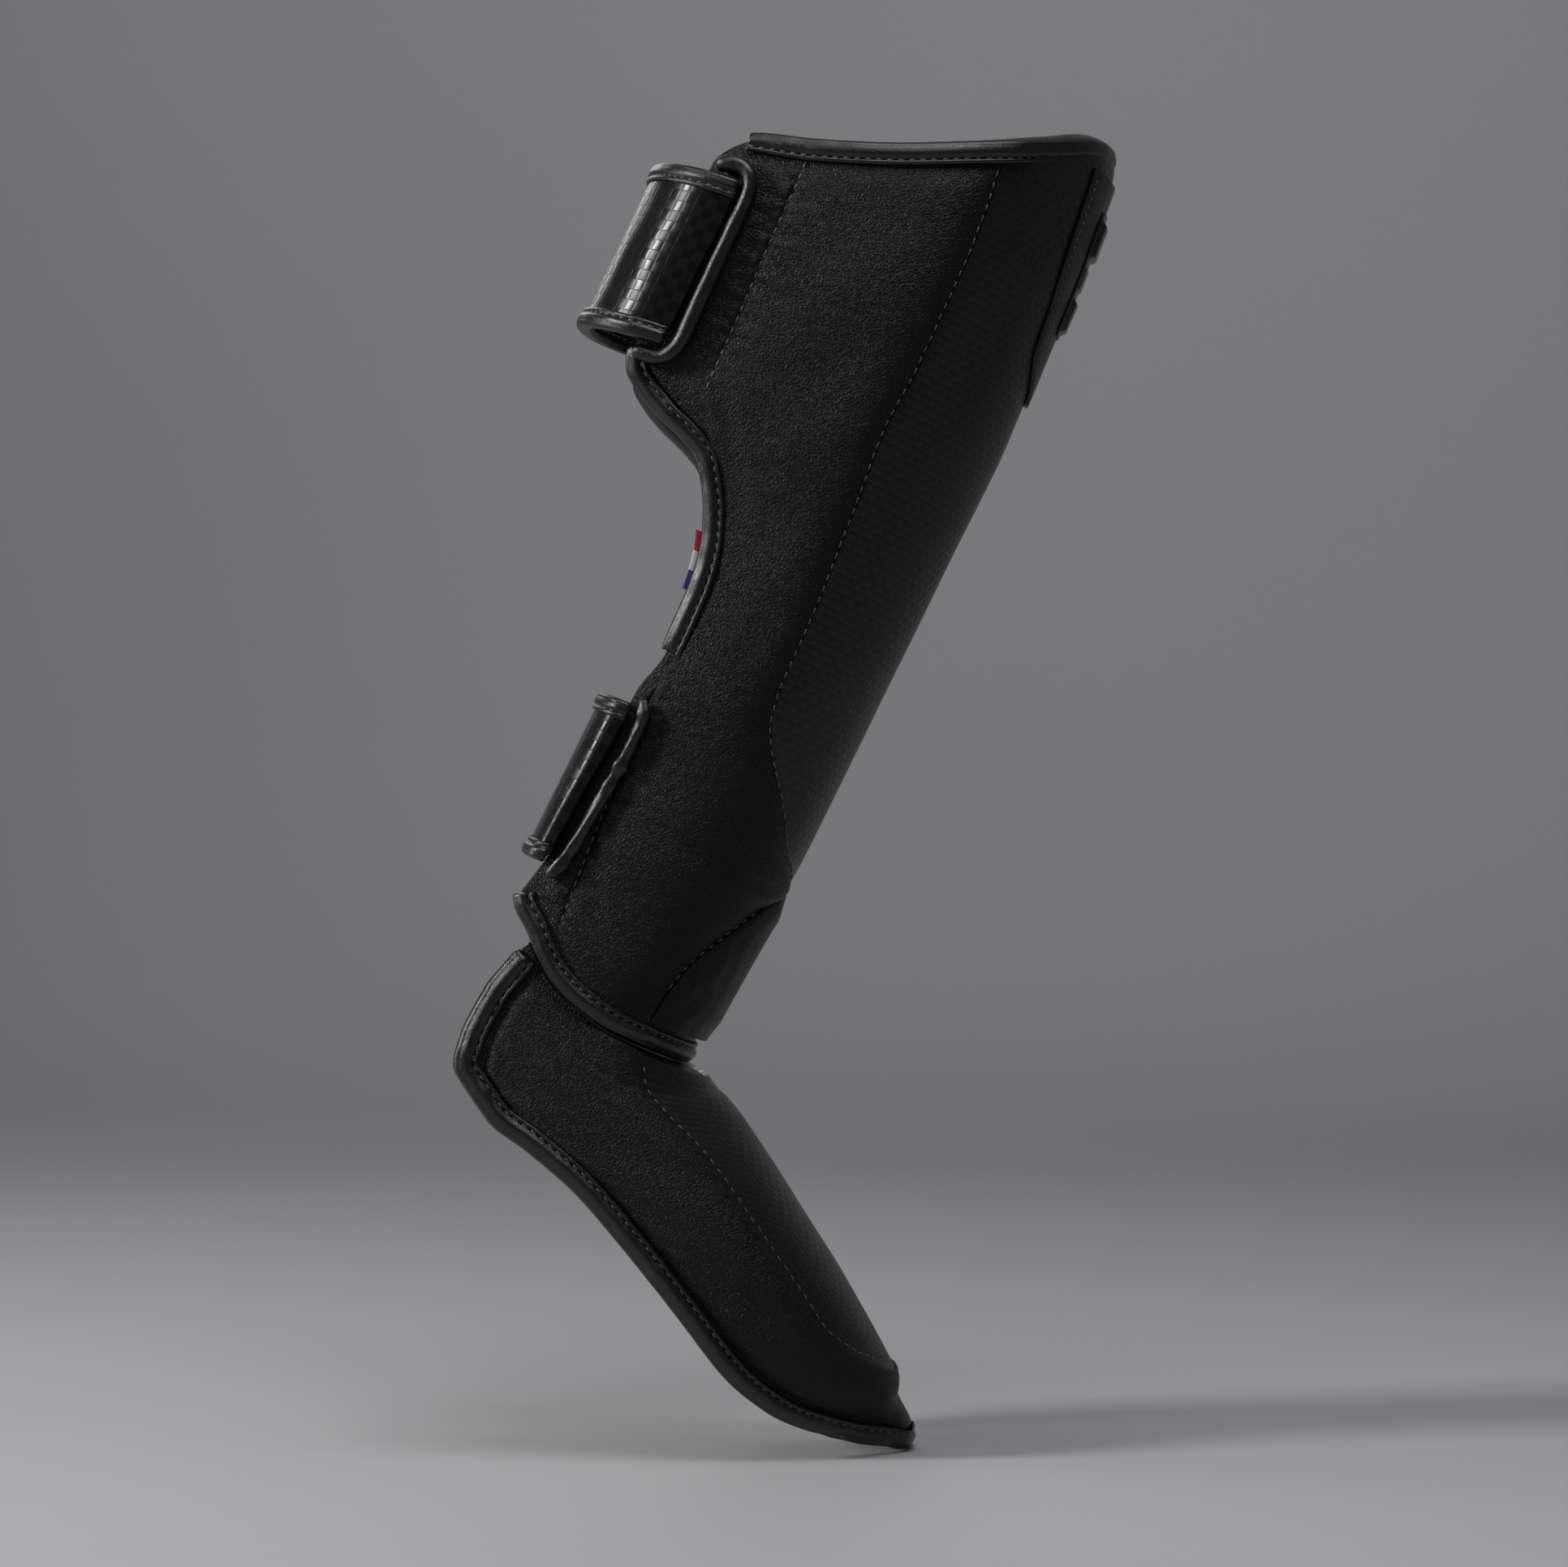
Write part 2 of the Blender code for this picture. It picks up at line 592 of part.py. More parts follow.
last = len(FOOT_ROWS) - 1
edge = [(i, -FOOT_HALF_COLUMNS) for i in range(last + 1)]
edge += [(last, j) for j in (-5, -2, 0, 2, 5)]
edge += [(i, FOOT_HALF_COLUMNS) for i in range(last, -1, -1)]
folded("foot_binding", [foot_edge_station(i, j) for i, j in edge], BLACK, .4, .0050,
       gap=.0010)

# Elastic band under the sole
sole_rows = (5.45, 6.2, 7.0, 7.7, 8.4)


def sole_grid(off):
    lines = []
    for t in sole_rows:
        start, way, length, half = foot_station(t)
        line = []
        for k in range(17):
            x, y = bent(2 * k / 16 - 1, length - .012, .0165 + off,
                        half * .94 - FOOT_EDGE_WALL - .0036 + off, 3.6)
            u, e = start + way * x
            sn, cs = math.sin(FOOT_LEAN), math.cos(FOOT_LEAN)
            line.append(Vector((ANKLE_X + u * sn - e * cs, y, ANKLE_Z - u * cs - e * sn)))
        lines.append(line)
    return lines


slab("sole_strap", sole_grid(SOLE_STRAP_THICK / 2), sole_grid(-SOLE_STRAP_THICK / 2), (.03, .03, .03),
     .7)
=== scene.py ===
import bpy
import bmesh
import math
import numpy as np
from mathutils import Matrix, Vector


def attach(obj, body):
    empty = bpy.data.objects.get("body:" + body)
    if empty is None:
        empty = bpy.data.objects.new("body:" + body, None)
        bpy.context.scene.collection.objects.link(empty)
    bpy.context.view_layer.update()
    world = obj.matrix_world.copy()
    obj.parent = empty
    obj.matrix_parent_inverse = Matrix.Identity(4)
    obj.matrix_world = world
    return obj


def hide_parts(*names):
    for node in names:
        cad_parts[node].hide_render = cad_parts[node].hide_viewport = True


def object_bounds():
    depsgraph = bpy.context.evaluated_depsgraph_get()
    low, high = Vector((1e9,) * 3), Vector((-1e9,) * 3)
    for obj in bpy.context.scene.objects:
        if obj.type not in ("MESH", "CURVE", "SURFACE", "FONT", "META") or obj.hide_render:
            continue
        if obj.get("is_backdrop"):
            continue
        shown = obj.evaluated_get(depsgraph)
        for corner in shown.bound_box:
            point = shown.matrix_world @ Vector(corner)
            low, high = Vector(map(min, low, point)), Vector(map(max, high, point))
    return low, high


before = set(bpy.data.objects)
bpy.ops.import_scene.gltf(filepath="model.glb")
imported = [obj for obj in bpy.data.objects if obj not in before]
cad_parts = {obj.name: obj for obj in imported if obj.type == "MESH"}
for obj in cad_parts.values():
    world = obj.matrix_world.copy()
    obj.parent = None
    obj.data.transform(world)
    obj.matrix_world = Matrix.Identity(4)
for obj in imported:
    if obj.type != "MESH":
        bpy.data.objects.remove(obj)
cadLow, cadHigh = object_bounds()

# Metres. +X is the toe side, -Y the outer side of the leg, +Z up
shinLength = .396
shinDepth = .154
shinHalf = .069
footLength = .245
footDepth = .079
footHalf = .058
shinLean = math.radians(26.3)
footLean = math.radians(32)
seatAlong = .497
seatWall = .020
ankleX = -.0695
ankleZ = -.1896
shinFrontWall = .0195
shinSideWall = .012
edgeWall = .0075
footFrontWall = .014
footSideWall = .009
footEdgeWall = .006
panelRecess = .0020
panelLow = .0017
strapOrigin = .122          # the straps' heights are measured from here along the shin

# Shares along the shin against shares of the named size
frontSet = ((0, .088), (.025, .060), (.056, .049), (.088, .041), (.13, .030), (.195, .021), (.26, .010),
            (.335, .001), (.79, 0), (.85, .014), (.94, .027), (1, .033))
halfWidth = ((0, .93), (.157, 1), (.308, .955), (.46, .865), (.61, .80), (.763, .755), (.914, .74), (1, .745))
widest = ((0, .40), (.157, .44), (.308, .43), (.46, .375), (.61, .335), (.763, .33), (.914, .34), (1, .345))
curl = ((0, .20), (.31, .22), (.41, .21), (.47, .12), (.65, .10), (.80, .13), (1, .12))
rearEdge = ((.162, .922), (.182, .968), (.196, .985), (.308, .98), (.39, .958), (.411, .935), (.424, .89),
            (.435, .829), (.444, .758), (.455, .695), (.47, .656), (.502, .604), (.54, .567), (.581, .551),
            (.644, .547), (.692, .571), (.768, .573), (.869, .587), (.919, .61))
topEdge = ((.05, .004), (.09, .006), (.234, .037), (.416, .077), (.597, .113), (.76, .139), (.935, .163),
           (.987, .182))
hemEdge = ((.03, .995), (.227, .995), (.357, .987), (.429, .977), (.487, .962), (.539, .944), (.591, .929),
           (.617, .914))
seamLine = ((0, .83), (.076, .83), (.116, .80), (.184, .775), (.288, .78), (.37, .81), (.55, .82), (.61, .825),
            (.652, .80), (.68, .737), (.706, .627), (.732, .50), (.766, .33), (.795, .08), (.808, .10),
            (.831, .30), (.857, .41), (.88, .49), (.908, .57), (.957, .62), (1, .63))
quiltLine = ((.157, .766), (.29, .753), (.399, .737), (.419, .721), (.439, .682), (.455, .636), (.47, .604),
             (.485, .578), (.52, .536), (.56, .503), (.60, .497), (.644, .500), (.675, .523), (.707, .523),
             (.765, .513), (.861, .494), (.937, .474))
badgeEdge = ((.025, .39), (.076, .355), (.13, .328), (.174, .28), (.217, .25), (.237, .19), (.255, .10),
             (.270, .03))
# Foot: station, front along, front set, rear along, rear set, half width
footForm = ((1, .004, -.027, -.308, .63, .853), (2, .030, -.033, -.262, .868, .88),
            (3, .053, -.051, -.216, .981, .90), (4, .090, -.065, -.135, .972, .93),
            (5, .139, -.071, -.057, .886, .957), (6, .208, -.075, .045, .791, .983),
            (7, .284, -.075, .186, .729, 1), (8, .362, -.077, .286, .696, .983),
            (9, .437, -.070, .404, .665, .922), (10, .512, -.058, .502, .570, .793),
            (11, .569, -.042, .571, .424, .621), (12, .604, .014, .626, .278, .450),
            (13, .645, .025, .656, .178, .300), (14, .674, .093, .671, .155, .200))
footSeam = ((0, .70), (1, .74), (3, .74), (5, .69), (7, .71), (9, .71), (9.7, .60), (10, .50), (10.5, .33),
            (11, .09), (11.5, .14), (12.5, .34), (14, .45))


def through(table, x, column=1):        # a smooth curve through the rows of a table
    rows = np.array(table, float)
    knots, values = rows[:, 0], rows[:, column]
    step = np.diff(values) / np.diff(knots)
    same = step[:-1] * step[1:] > 0
    middle = np.where(same, 2 * step[:-1] * step[1:] / np.where(same, step[:-1] + step[1:], 1), 0)
    slope = np.concatenate(([step[0]], middle, [step[-1]]))
    x = np.clip(x, knots[0], knots[-1])
    i = np.clip(np.searchsorted(knots, x) - 1, 0, len(knots) - 2)
    h = knots[i + 1] - knots[i]
    t = (x - knots[i]) / h
    return ((1 + 2 * t) * (1 - t) ** 2 * values[i] + t * t * (3 - 2 * t) * values[i + 1]
            + h * t * (1 - t) ** 2 * slope[i] - h * t * t * (1 - t) * slope[i + 1])


def ramp(x, low, high):
    t = np.clip((x - low) / (high - low), 0, 1)
    return t * t * (3 - 2 * t)


def unit(v):
    return v / np.maximum(np.linalg.norm(v, axis=-1, keepdims=True), 1e-12)


def dot(a, b):
    return np.sum(a * b, axis=-1, keepdims=True)


def waves(x, y, seed, size, count=7):   # a smooth random field between about -1 and 1
    draw = np.random.RandomState(seed)
    total = 0
    for k in range(count):
        turn, phase, length = draw.uniform(0, math.pi), draw.uniform(0, 6.28), size * draw.uniform(.7, 1.6)
        total = total + np.sin((x * math.cos(turn) + y * math.sin(turn)) * 2 * math.pi / length + phase)
    return total / math.sqrt(count)


def section(a, front, wide, rear, half, curve, off):
    th, t = np.clip(a, 0, 1) * math.pi / 2, a - 1
    fore = a <= 1
    d = np.where(fore, front + (wide - front) * (1 - np.cos(th)), wide + (rear - wide) * t)
    y = np.where(fore, half * np.sin(th), half * (1 - curve * t * t))
    nd = np.where(fore, -half * np.cos(th), 2 * curve * half * t)
    ny = np.where(fore, (wide - front) * np.sin(th), rear - wide)
    n = np.hypot(nd, ny)
    return d + off * nd / n, y + off * ny / n


def shinRow(s):
    k = s / shinLength
    return (shinDepth * through(frontSet, k), shinDepth * through(widest, k), shinDepth * through(rearEdge, k),
            shinHalf * through(halfWidth, k), through(curl, k))


def shinWorld(s, d, y):
    a, b = s - seatAlong * shinLength, d - seatWall
    return np.stack([-a * math.sin(shinLean) - b * math.cos(shinLean), y + 0 * a,
                     -a * math.cos(shinLean) + b * math.sin(shinLean)], -1)


def shinPoint(s, a, off=0.0):
    d, y = section(np.abs(a), *shinRow(s), off)
    return shinWorld(s, d, np.sign(a) * y)


def shareAtDepth(s, d):
    front, wide, rear, half, curve = shinRow(s)
    fore = np.arccos(np.clip(1 - np.maximum(d - front, 0) / (wide - front), -1, 1)) * 2 / math.pi
    return np.where(d <= wide, fore, 1 + (d - wide) / (rear - wide))


def calfOpen(k):
    return ramp(k, .34, .40) * (1 - ramp(k, .66, .72))


def blendColumns(columns, c):
    i = np.clip(np.floor(c).astype(int), 0, len(columns) - 2)
    stack = np.stack(np.broadcast_arrays(*columns), 0)
    low = np.take_along_axis(stack, i[None], 0)[0]
    high = np.take_along_axis(stack, i[None] + 1, 0)[0]
    return low + (high - low) * (c - i)


def shinShare(c, s):                    # column 4 is the front seam, 9 the quilting seam and 11 the rear edge
    k = s / shinLength
    seam = through(seamLine, k)
    quilt = np.minimum(shareAtDepth(s, shinDepth * through(quiltLine, k)), 1.93)
    crest = seam + .11
    columns = (0 * s, seam * .25, seam * .5, seam * .75, seam, seam + .045, crest,
               crest + (quilt - crest) * .33, crest + (quilt - crest) * .70, quilt,
               2 - (2 - quilt) * (.5 + .42 * calfOpen(k)), 2 + 0 * s)
    return blendColumns(columns, c)


def shinRim(edge, c, start):
    s = np.full_like(c, shinLength * start)
    for _ in range(14):
        d = section(shinShare(c, s), *shinRow(s), 0.0)[0]
        s = shinLength * through(edge, d / shinDepth)
    return s


def shinPlaces(shares, columns):        # along the shin and across it, for each row and column
    c = np.abs(columns)
    top, hem = shinRim(topEdge, c, .1), shinRim(hemEdge, c, .95)
    s = top[None] + (hem - top)[None] * shares[:, None]
    return s, np.sign(columns)[None] * shinShare(np.broadcast_to(c, s.shape), s)


def shinWall(share, a):
    a = np.abs(a)
    front = shinFrontWall + (shinSideWall - shinFrontWall) * ramp(a, .2, 1)
    side = shinSideWall + (edgeWall - shinSideWall) * ramp(a, 1, 1.75)
    rim = ramp(share, .026, .13) * (1 - ramp(share, .85, .95))
    return edgeWall + (np.where(a < 1, front, side) - edgeWall) * rim


def footStation(t):
    u0, e0, u1, e1, half = (through(footForm, t, k) for k in range(1, 6))
    start = np.stack([footLength * u0, footDepth * e0], -1)
    end = np.stack([footLength * u1, footDepth * e1], -1)
    length = np.linalg.norm(end - start, axis=-1)
    return start, (end - start) / length[..., None], length - .002, footHalf * half


def footWorld(ue, y):
    u, e = ue[..., 0], ue[..., 1]
    sn, cs = math.sin(footLean), math.cos(footLean)
    return np.stack([ankleX + u * sn - e * cs, y, ankleZ - u * cs - e * sn], -1)


def footFan(t, a, off=0.0):
    start, way, length, half = footStation(t)
    x, y = section(np.abs(a), 0.0, length * (.46 + .06 * ramp(t, 9, 14)), length, half, .06, off)
    return footWorld(start + way * x[..., None], np.sign(a) * y)


def hemAlong(a):
    s = np.full_like(a, shinLength * .97)
    for _ in range(12):
        s = shinLength * through(hemEdge, section(a, *shinRow(s), 0.0)[0] / shinDepth)
    return s


def hemPoint(a):
    b = np.abs(a)
    b = np.where(b <= 1, b, 1 + (b - 1) * .66)
    s = hemAlong(b)
    p = shinPoint(s, b)
    n = unit(shinPoint(s, b + 1e-9, .001) - p)
    high, low = b + .03, np.maximum(b - .03, 1e-6)
    way = shinPoint(hemAlong(high), high) - shinPoint(hemAlong(low), low)
    way = unit(way - n * dot(way, n))
    down = np.cross(way, n)
    down = down * np.sign(dot(down, shinPoint(s + .001, b) - p))
    p = p + down * .00265 + n * (.005 * (1 - ramp(b, 0, .9)) - .0024)[..., None]
    p[..., 1] = np.abs(p[..., 1]) * np.sign(a)
    return p


def footBase(t, a):
    share = np.clip(t, 0, 1)[..., None]
    fan = footFan(np.maximum(t, 1), a)
    return np.where(share < 1, hemPoint(a) * (1 - share) + footFan(1 + 0 * t, a) * share, fan)


def footPoint(t, a, off):
    p = footBase(t, a)
    u = np.maximum(t, 1)
    along = footBase(np.minimum(u + .06, 14), a) - footBase(np.maximum(u - .06, 1), a)
    n = unit(np.cross(along, footBase(u, a + .02) - footBase(u, a - .02)))
    n = n * np.sign(dot(n, footFan(u, a, .001) - footFan(u, a)))
    b = np.abs(a)
    b = np.where(b <= 1, b, 1 + (b - 1) * .66) * np.where(a < 0, -1, 1)
    s = hemAlong(np.abs(b))
    high = unit(shinPoint(s, b, .001) - shinPoint(s, b))
    share = np.clip(1 - t, 0, 1)[..., None]
    return p + unit(n * (1 - share) + high * share) * np.asarray(off)[..., None]


def footShare(c, t):                    # column 3 is the front seam, 8 the edge
    seam = through(footSeam, t)
    rest = 1.82 - seam
    columns = (0 * t, seam * .33, seam * .67, seam, seam + .07, seam + .18, seam + .18 + rest * .33,
               seam + .18 + rest * .68, 2 + 0 * t)
    return blendColumns(columns, c)


def footWall(t, a):
    a = np.abs(a)
    front = footFrontWall + (footSideWall - footFrontWall) * ramp(a, .2, 1)
    side = footSideWall + (footEdgeWall - footSideWall) * ramp(a, 1, 1.78)
    w = edgeWall + (np.where(a < 1, front, side) - edgeWall) * ramp(t, 0, 1.5)
    return w + (.0026 - w) * ramp(t, 9, 13)


print("shapes of the shin and foot are set")


# Materials
class Nodes:
    def __init__(self, name):
        self.material = bpy.data.materials.new(name)
        self.material.use_nodes = True
        self.tree = self.material.node_tree
        self.shader = self.tree.nodes["Principled BSDF"]

    def add(self, kind, values=(), **settings):
        node = self.tree.nodes.new(kind)
        for key, value in settings.items():
            setattr(node, key, value)
        for key, value in dict(values).items():
            if isinstance(value, bpy.types.NodeSocket):
                self.tree.links.new(value, node.inputs[key])
            else:
                node.inputs[key].default_value = value
        return node

    def math(self, operation, first, second=0.0):
        return self.add("ShaderNodeMath", {0: first, 1: second}, operation=operation).outputs[0]

    def shade(self, factor, dark, light):
        mix = self.add("ShaderNodeMix", {0: factor, 6: (*dark, 1), 7: (*light, 1)}, data_type="RGBA")
        return mix.outputs[2]

    def between(self, factor, low, high):
        ranged = self.add("ShaderNodeMapRange", {"Value": factor, "To Min": low, "To Max": high})
        return ranged.outputs[0]

    def bump(self, height, distance, strength=1.0, under=None):
        values = {"Height": height, "Distance": distance, "Strength": strength}
        if under:
            values["Normal"] = under
        return self.add("ShaderNodeBump", values).outputs[0]

    def use(self, **sockets):
        for key, value in sockets.items():
            self.feed(key.replace("_", " "), value)
        return self.material

    def feed(self, key, value):
        if isinstance(value, bpy.types.NodeSocket):
            self.tree.links.new(value, self.shader.inputs[key])
        else:
            self.shader.inputs[key].default_value = value


def leather(name, look):
    m = Nodes(name)
    place = m.add("ShaderNodeTexCoord").outputs["Object"]
    pebbles = m.add("ShaderNodeTexVoronoi", {"Vector": place, "Scale": look["pebbles"], "Randomness": 1.0},
                    feature="DISTANCE_TO_EDGE").outputs["Distance"]
    fine = m.add("ShaderNodeTexNoise", {"Vector": place, "Scale": look["pebbles"] * 2.6, "Detail": 3.0})
    broad = m.add("ShaderNodeTexNoise", {"Vector": place, "Scale": look["clouds"], "Detail": 4.0})
    creases = m.add("ShaderNodeTexNoise", {"Vector": place, "Scale": look["creases"], "Detail": 5.0,
                                           "Roughness": .62})
    ridge = m.math("ABSOLUTE", m.math("SUBTRACT", creases.outputs[0], .5))
    cut = m.between(m.math("MULTIPLY", ridge, 14), 0.0, 1.0)
    grain = m.math("POWER", m.math("MULTIPLY", pebbles, 1.6), .5)
    height = m.math("ADD", grain, m.math("MULTIPLY", fine.outputs[0], .45))
    normal = m.bump(cut, look["creaseDepth"], .5)
    normal = m.bump(height, look["grainDepth"], look["grain"], normal)
    tone = m.between(broad.outputs[0], 0.0, 1.0)
    colour = m.shade(tone, look["dark"], look["light"])
    rough = m.between(broad.outputs[0], look["rough"] - .07, look["rough"] + .09)
    m.feed("Specular IOR Level", look["shine"])
    return m.use(Base_Color=colour, Roughness=rough, Normal=normal)


def weave(name, look):                  # small squares ribbed across and along in turn
    m = Nodes(name)
    run = m.add("ShaderNodeUVMap", uv_map="run").outputs[0]
    cells = m.add("ShaderNodeVectorMath", {0: run, 3: 1 / look["cell"]}, operation="SCALE").outputs[0]
    split = m.add("ShaderNodeSeparateXYZ", {0: cells})
    x, y = split.outputs[0], split.outputs[1]
    turn = m.add("ShaderNodeTexChecker", {"Vector": cells, "Scale": 1.0, "Color1": (0, 0, 0, 1),
                                          "Color2": (1, 1, 1, 1)}).outputs[1]

    def arch(value, count):
        return m.math("ABSOLUTE", m.math("SINE", m.math("MULTIPLY", value, math.pi * count)))

    crown = m.math("POWER", m.math("MULTIPLY", arch(x, 1), arch(y, 1)), .45)
    across, along = arch(x, look["ribs"]), arch(y, look["ribs"])
    ribs = m.add("ShaderNodeMix", {0: turn, 2: across, 3: along}).outputs[0]
    height = m.math("ADD", crown, m.math("MULTIPLY", ribs, look["ribShare"]))
    place = m.add("ShaderNodeTexCoord").outputs["Object"]
    broad = m.add("ShaderNodeTexNoise", {"Vector": place, "Scale": 60.0, "Detail": 4.0}).outputs[0]
    # alternate cells are painted lighter as a painted glint standing in for the light the ribs catch; the
    # broad noise varies that painted glint at random
    paintedGlint = m.math("MULTIPLY", turn, m.between(broad, .6, 1.4))
    colour = m.shade(paintedGlint, look["dark"], look["light"])
    rough = m.math("ADD", m.between(turn, look["rough"], look["rough"] - look["glint"]),
                   m.between(broad, -.05, .05))
    m.feed("Specular IOR Level", look["shine"])
    return m.use(Base_Color=colour, Roughness=rough, Normal=m.bump(height, look["depth"], look["strength"]))


def cloth(name, look):                  # a fine plain weave
    m = Nodes(name)
    run = m.add("ShaderNodeUVMap", uv_map="run").outputs[0]
    threads = m.add("ShaderNodeVectorMath", {0: run, 3: math.pi / look["thread"]}, operation="SCALE")
    split = m.add("ShaderNodeSeparateXYZ", {0: threads.outputs[0]})
    over = m.math("MULTIPLY", m.math("SINE", split.outputs[0]), m.math("SINE", split.outputs[1]))
    place = m.add("ShaderNodeTexCoord").outputs["Object"]
    fuzz = m.add("ShaderNodeTexNoise", {"Vector": place, "Scale": look["fuzz"], "Detail": 4.0}).outputs[0]
    height = m.math("ADD", over, m.math("MULTIPLY", fuzz, .8))
    colour = m.shade(m.between(m.math("ADD", over, fuzz), 0.0, 1.0), look["dark"], look["light"])
    return m.use(Base_Color=colour, Roughness=m.between(fuzz, look["rough"], look["rough"] + .12),
                 Normal=m.bump(height, look["depth"], .8))


blackLeather = leather("blackLeather", {
    "pebbles": 820.0, "clouds": 26.0, "creases": 150.0, "creaseDepth": .00026, "grainDepth": .00032,
    "grain": .85, "dark": (.0034, .0034, .0038), "light": (.0058, .0058, .0064), "rough": .34,
    "shine": .20})
turnedLeather = leather("turnedLeather", {
    "pebbles": 1500.0, "clouds": 60.0, "creases": 420.0, "creaseDepth": .00006, "grainDepth": .00010,
    "grain": .40, "dark": (.0036, .0036, .0041), "light": (.0062, .0062, .0068), "rough": .27,
    "shine": .5})
smoothLeather = leather("smoothLeather", {
    "pebbles": 1900.0, "clouds": 40.0, "creases": 60.0, "creaseDepth": .00006, "grainDepth": .00008,
    "grain": .35, "dark": (.0045, .0045, .005), "light": (.0068, .0068, .0075), "rough": .40,
    "shine": .45})
# in embossedLeather and strapWeave the light colour is a painted glint on alternate cells, the dark colour the
# leather's own black
embossedLeather = weave("embossedLeather", {
    "cell": .0033, "ribs": 4, "ribShare": .20, "depth": .00016, "strength": .9, "rough": .38, "glint": .10,
    "shine": .36,
    "dark": (.0045, .0045, .005), "light": (.0078, .0078, .0086)})
strapWeave = weave("strapWeave", {
    "cell": .0042, "ribs": 6, "ribShare": .16, "depth": .00010, "strength": .6, "rough": .29, "glint": .09,
    "shine": .20,
    "dark": (.004, .004, .0045), "light": (.0085, .009, .0100)})
liningCloth = cloth("liningCloth", {
    "thread": .0009, "fuzz": 700.0, "depth": .00022, "rough": .78, "dark": (.008, .008, .009),
    "light": (.020, .020, .022)})
strapBacking = cloth("strapBacking", {
    "thread": .0007, "fuzz": 900.0, "depth": .0003, "rough": .85, "dark": (.035, .036, .038),
    "light": (.085, .088, .092)})
elasticCloth = cloth("elasticCloth", {
    "thread": .0012, "fuzz": 500.0, "depth": .0004, "rough": .62, "dark": (.004, .004, .0045),
    "light": (.010, .010, .011)})


def plainFinish(name, colour, rough, spots):
    m = Nodes(name)
    place = m.add("ShaderNodeTexCoord").outputs["Object"]
    noise = m.add("ShaderNodeTexNoise", {"Vector": place, "Scale": spots, "Detail": 3.0}).outputs[0]
    dark = tuple(v * .75 for v in colour)
    return m.use(Base_Color=m.shade(noise, dark, colour), Normal=m.bump(noise, .00008, .4),
                 Roughness=m.between(noise, rough - .06, rough + .08))


# the thread's grey colour is a painted glint: the real thread is dark, and this lighter colour stands in for
# the highlights on the stitches
threadPaintedGlint = plainFinish("threadPaintedGlint", (.11, .11, .115), .24, 2500.0)
mouldedRubber = plainFinish("mouldedRubber", (.006, .006, .007), .27, 900.0)


def stripes(name, colours):             # three woven bands along the tag
    m = Nodes(name)
    run = m.add("ShaderNodeUVMap", uv_map="run").outputs[0]
    split = m.add("ShaderNodeSeparateXYZ", {0: run})
    first = m.math("GREATER_THAN", split.outputs[1], 1 / 3)
    second = m.math("GREATER_THAN", split.outputs[1], 2 / 3)
    upper = m.shade(first, colours[0], colours[1])
    mix = m.add("ShaderNodeMix", {0: second, 6: upper, 7: (*colours[2], 1)}, data_type="RGBA")
    lines = m.add("ShaderNodeTexWave", {"Vector": run, "Scale": 14.0, "Distortion": .4}, bands_direction="Y")
    return m.use(Base_Color=mix.outputs[2], Roughness=.62, Normal=m.bump(lines.outputs[1], .0002, .7))


tagWeave = stripes("tagWeave", ((.42, .014, .022), (.80, .80, .82), (.012, .045, .26)))
print("materials are made")


# Pieces
def settle(name, mesh, materials, slot=None, stands=(), sharp=60):
    for material in materials:
        mesh.materials.append(material)
    mesh.shade_smooth()
    mesh.set_sharp_from_angle(angle=math.radians(sharp))
    piece = bpy.data.objects.new(name, mesh)
    bpy.context.scene.collection.objects.link(piece)
    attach(piece, "root")
    if stands:
        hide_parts(*stands)
    return piece


def sewn(name, outer, inner, materials, run=None, **more):     # a sheet with a wall, bent to its faces
    rows, columns = outer.shape[:2]
    bm = bmesh.new()
    bmesh.ops.create_grid(bm, x_segments=columns - 1, y_segments=rows - 1, size=.5)
    made = bmesh.ops.extrude_face_region(bm, geom=bm.faces[:], use_keep_orig=True)
    under = [g for g in made["geom"] if isinstance(g, bmesh.types.BMVert)]
    bmesh.ops.translate(bm, vec=(0, 0, -1), verts=under)
    bmesh.ops.recalc_face_normals(bm, faces=bm.faces[:])
    mesh = bpy.data.meshes.new(name)
    bm.to_mesh(mesh)
    bm.free()
    flat = np.empty(len(mesh.vertices) * 3)
    mesh.vertices.foreach_get("co", flat)
    flat = flat.reshape(-1, 3)
    column = np.rint((flat[:, 0] + .5) * (columns - 1)).astype(int)
    row = np.rint((flat[:, 1] + .5) * (rows - 1)).astype(int)
    placed = np.where(flat[:, 2:] > -.5, outer[row, column], inner[row, column])
    corners = np.empty(len(mesh.loops), np.int32)
    mesh.loops.foreach_get("vertex_index", corners)
    if run is not None:
        layer = mesh.uv_layers.new(name="run")
        layer.data.foreach_set("uv", run[row, column][corners].astype(np.float32).ravel())
    if len(materials) > 1:
        low = np.all(flat[corners, 2].reshape(-1, 4) < -.5, axis=1)
        mesh.polygons.foreach_set("material_index", low.astype(np.int32))
    mesh.vertices.foreach_set("co", placed.astype(np.float32).ravel())
    quads = placed[corners.reshape(-1, 4)]
    volume = np.sum(np.cross(quads[:, 0], quads[:, 1]) * quads[:, 2]
                    + np.cross(quads[:, 0], quads[:, 2]) * quads[:, 3])
    if volume < 0:
        mesh.flip_normals()
    mesh.update()
    return settle(name, mesh, materials, **more)


def runLength(points):
    step = np.linalg.norm(np.diff(points, axis=0), axis=-1)
    return np.concatenate((np.zeros((1,) + step.shape[1:]), np.cumsum(step, axis=0)))


def resample(line, count):
    reach = runLength(line)
    at = np.linspace(0, reach[-1], count)
    return np.stack([np.interp(at, reach, line[:, k]) for k in range(line.shape[1])], -1)


def eased(lines, width):                # a moving mean along a line
    padded = np.concatenate((np.repeat(lines[:1], width, 0), lines, np.repeat(lines[-1:], width, 0)))
    total = np.cumsum(np.concatenate((np.zeros((1,) + lines.shape[1:]), padded)), axis=0)
    return (total[2 * width + 1:] - total[:-2 * width - 1]) / (2 * width + 1)


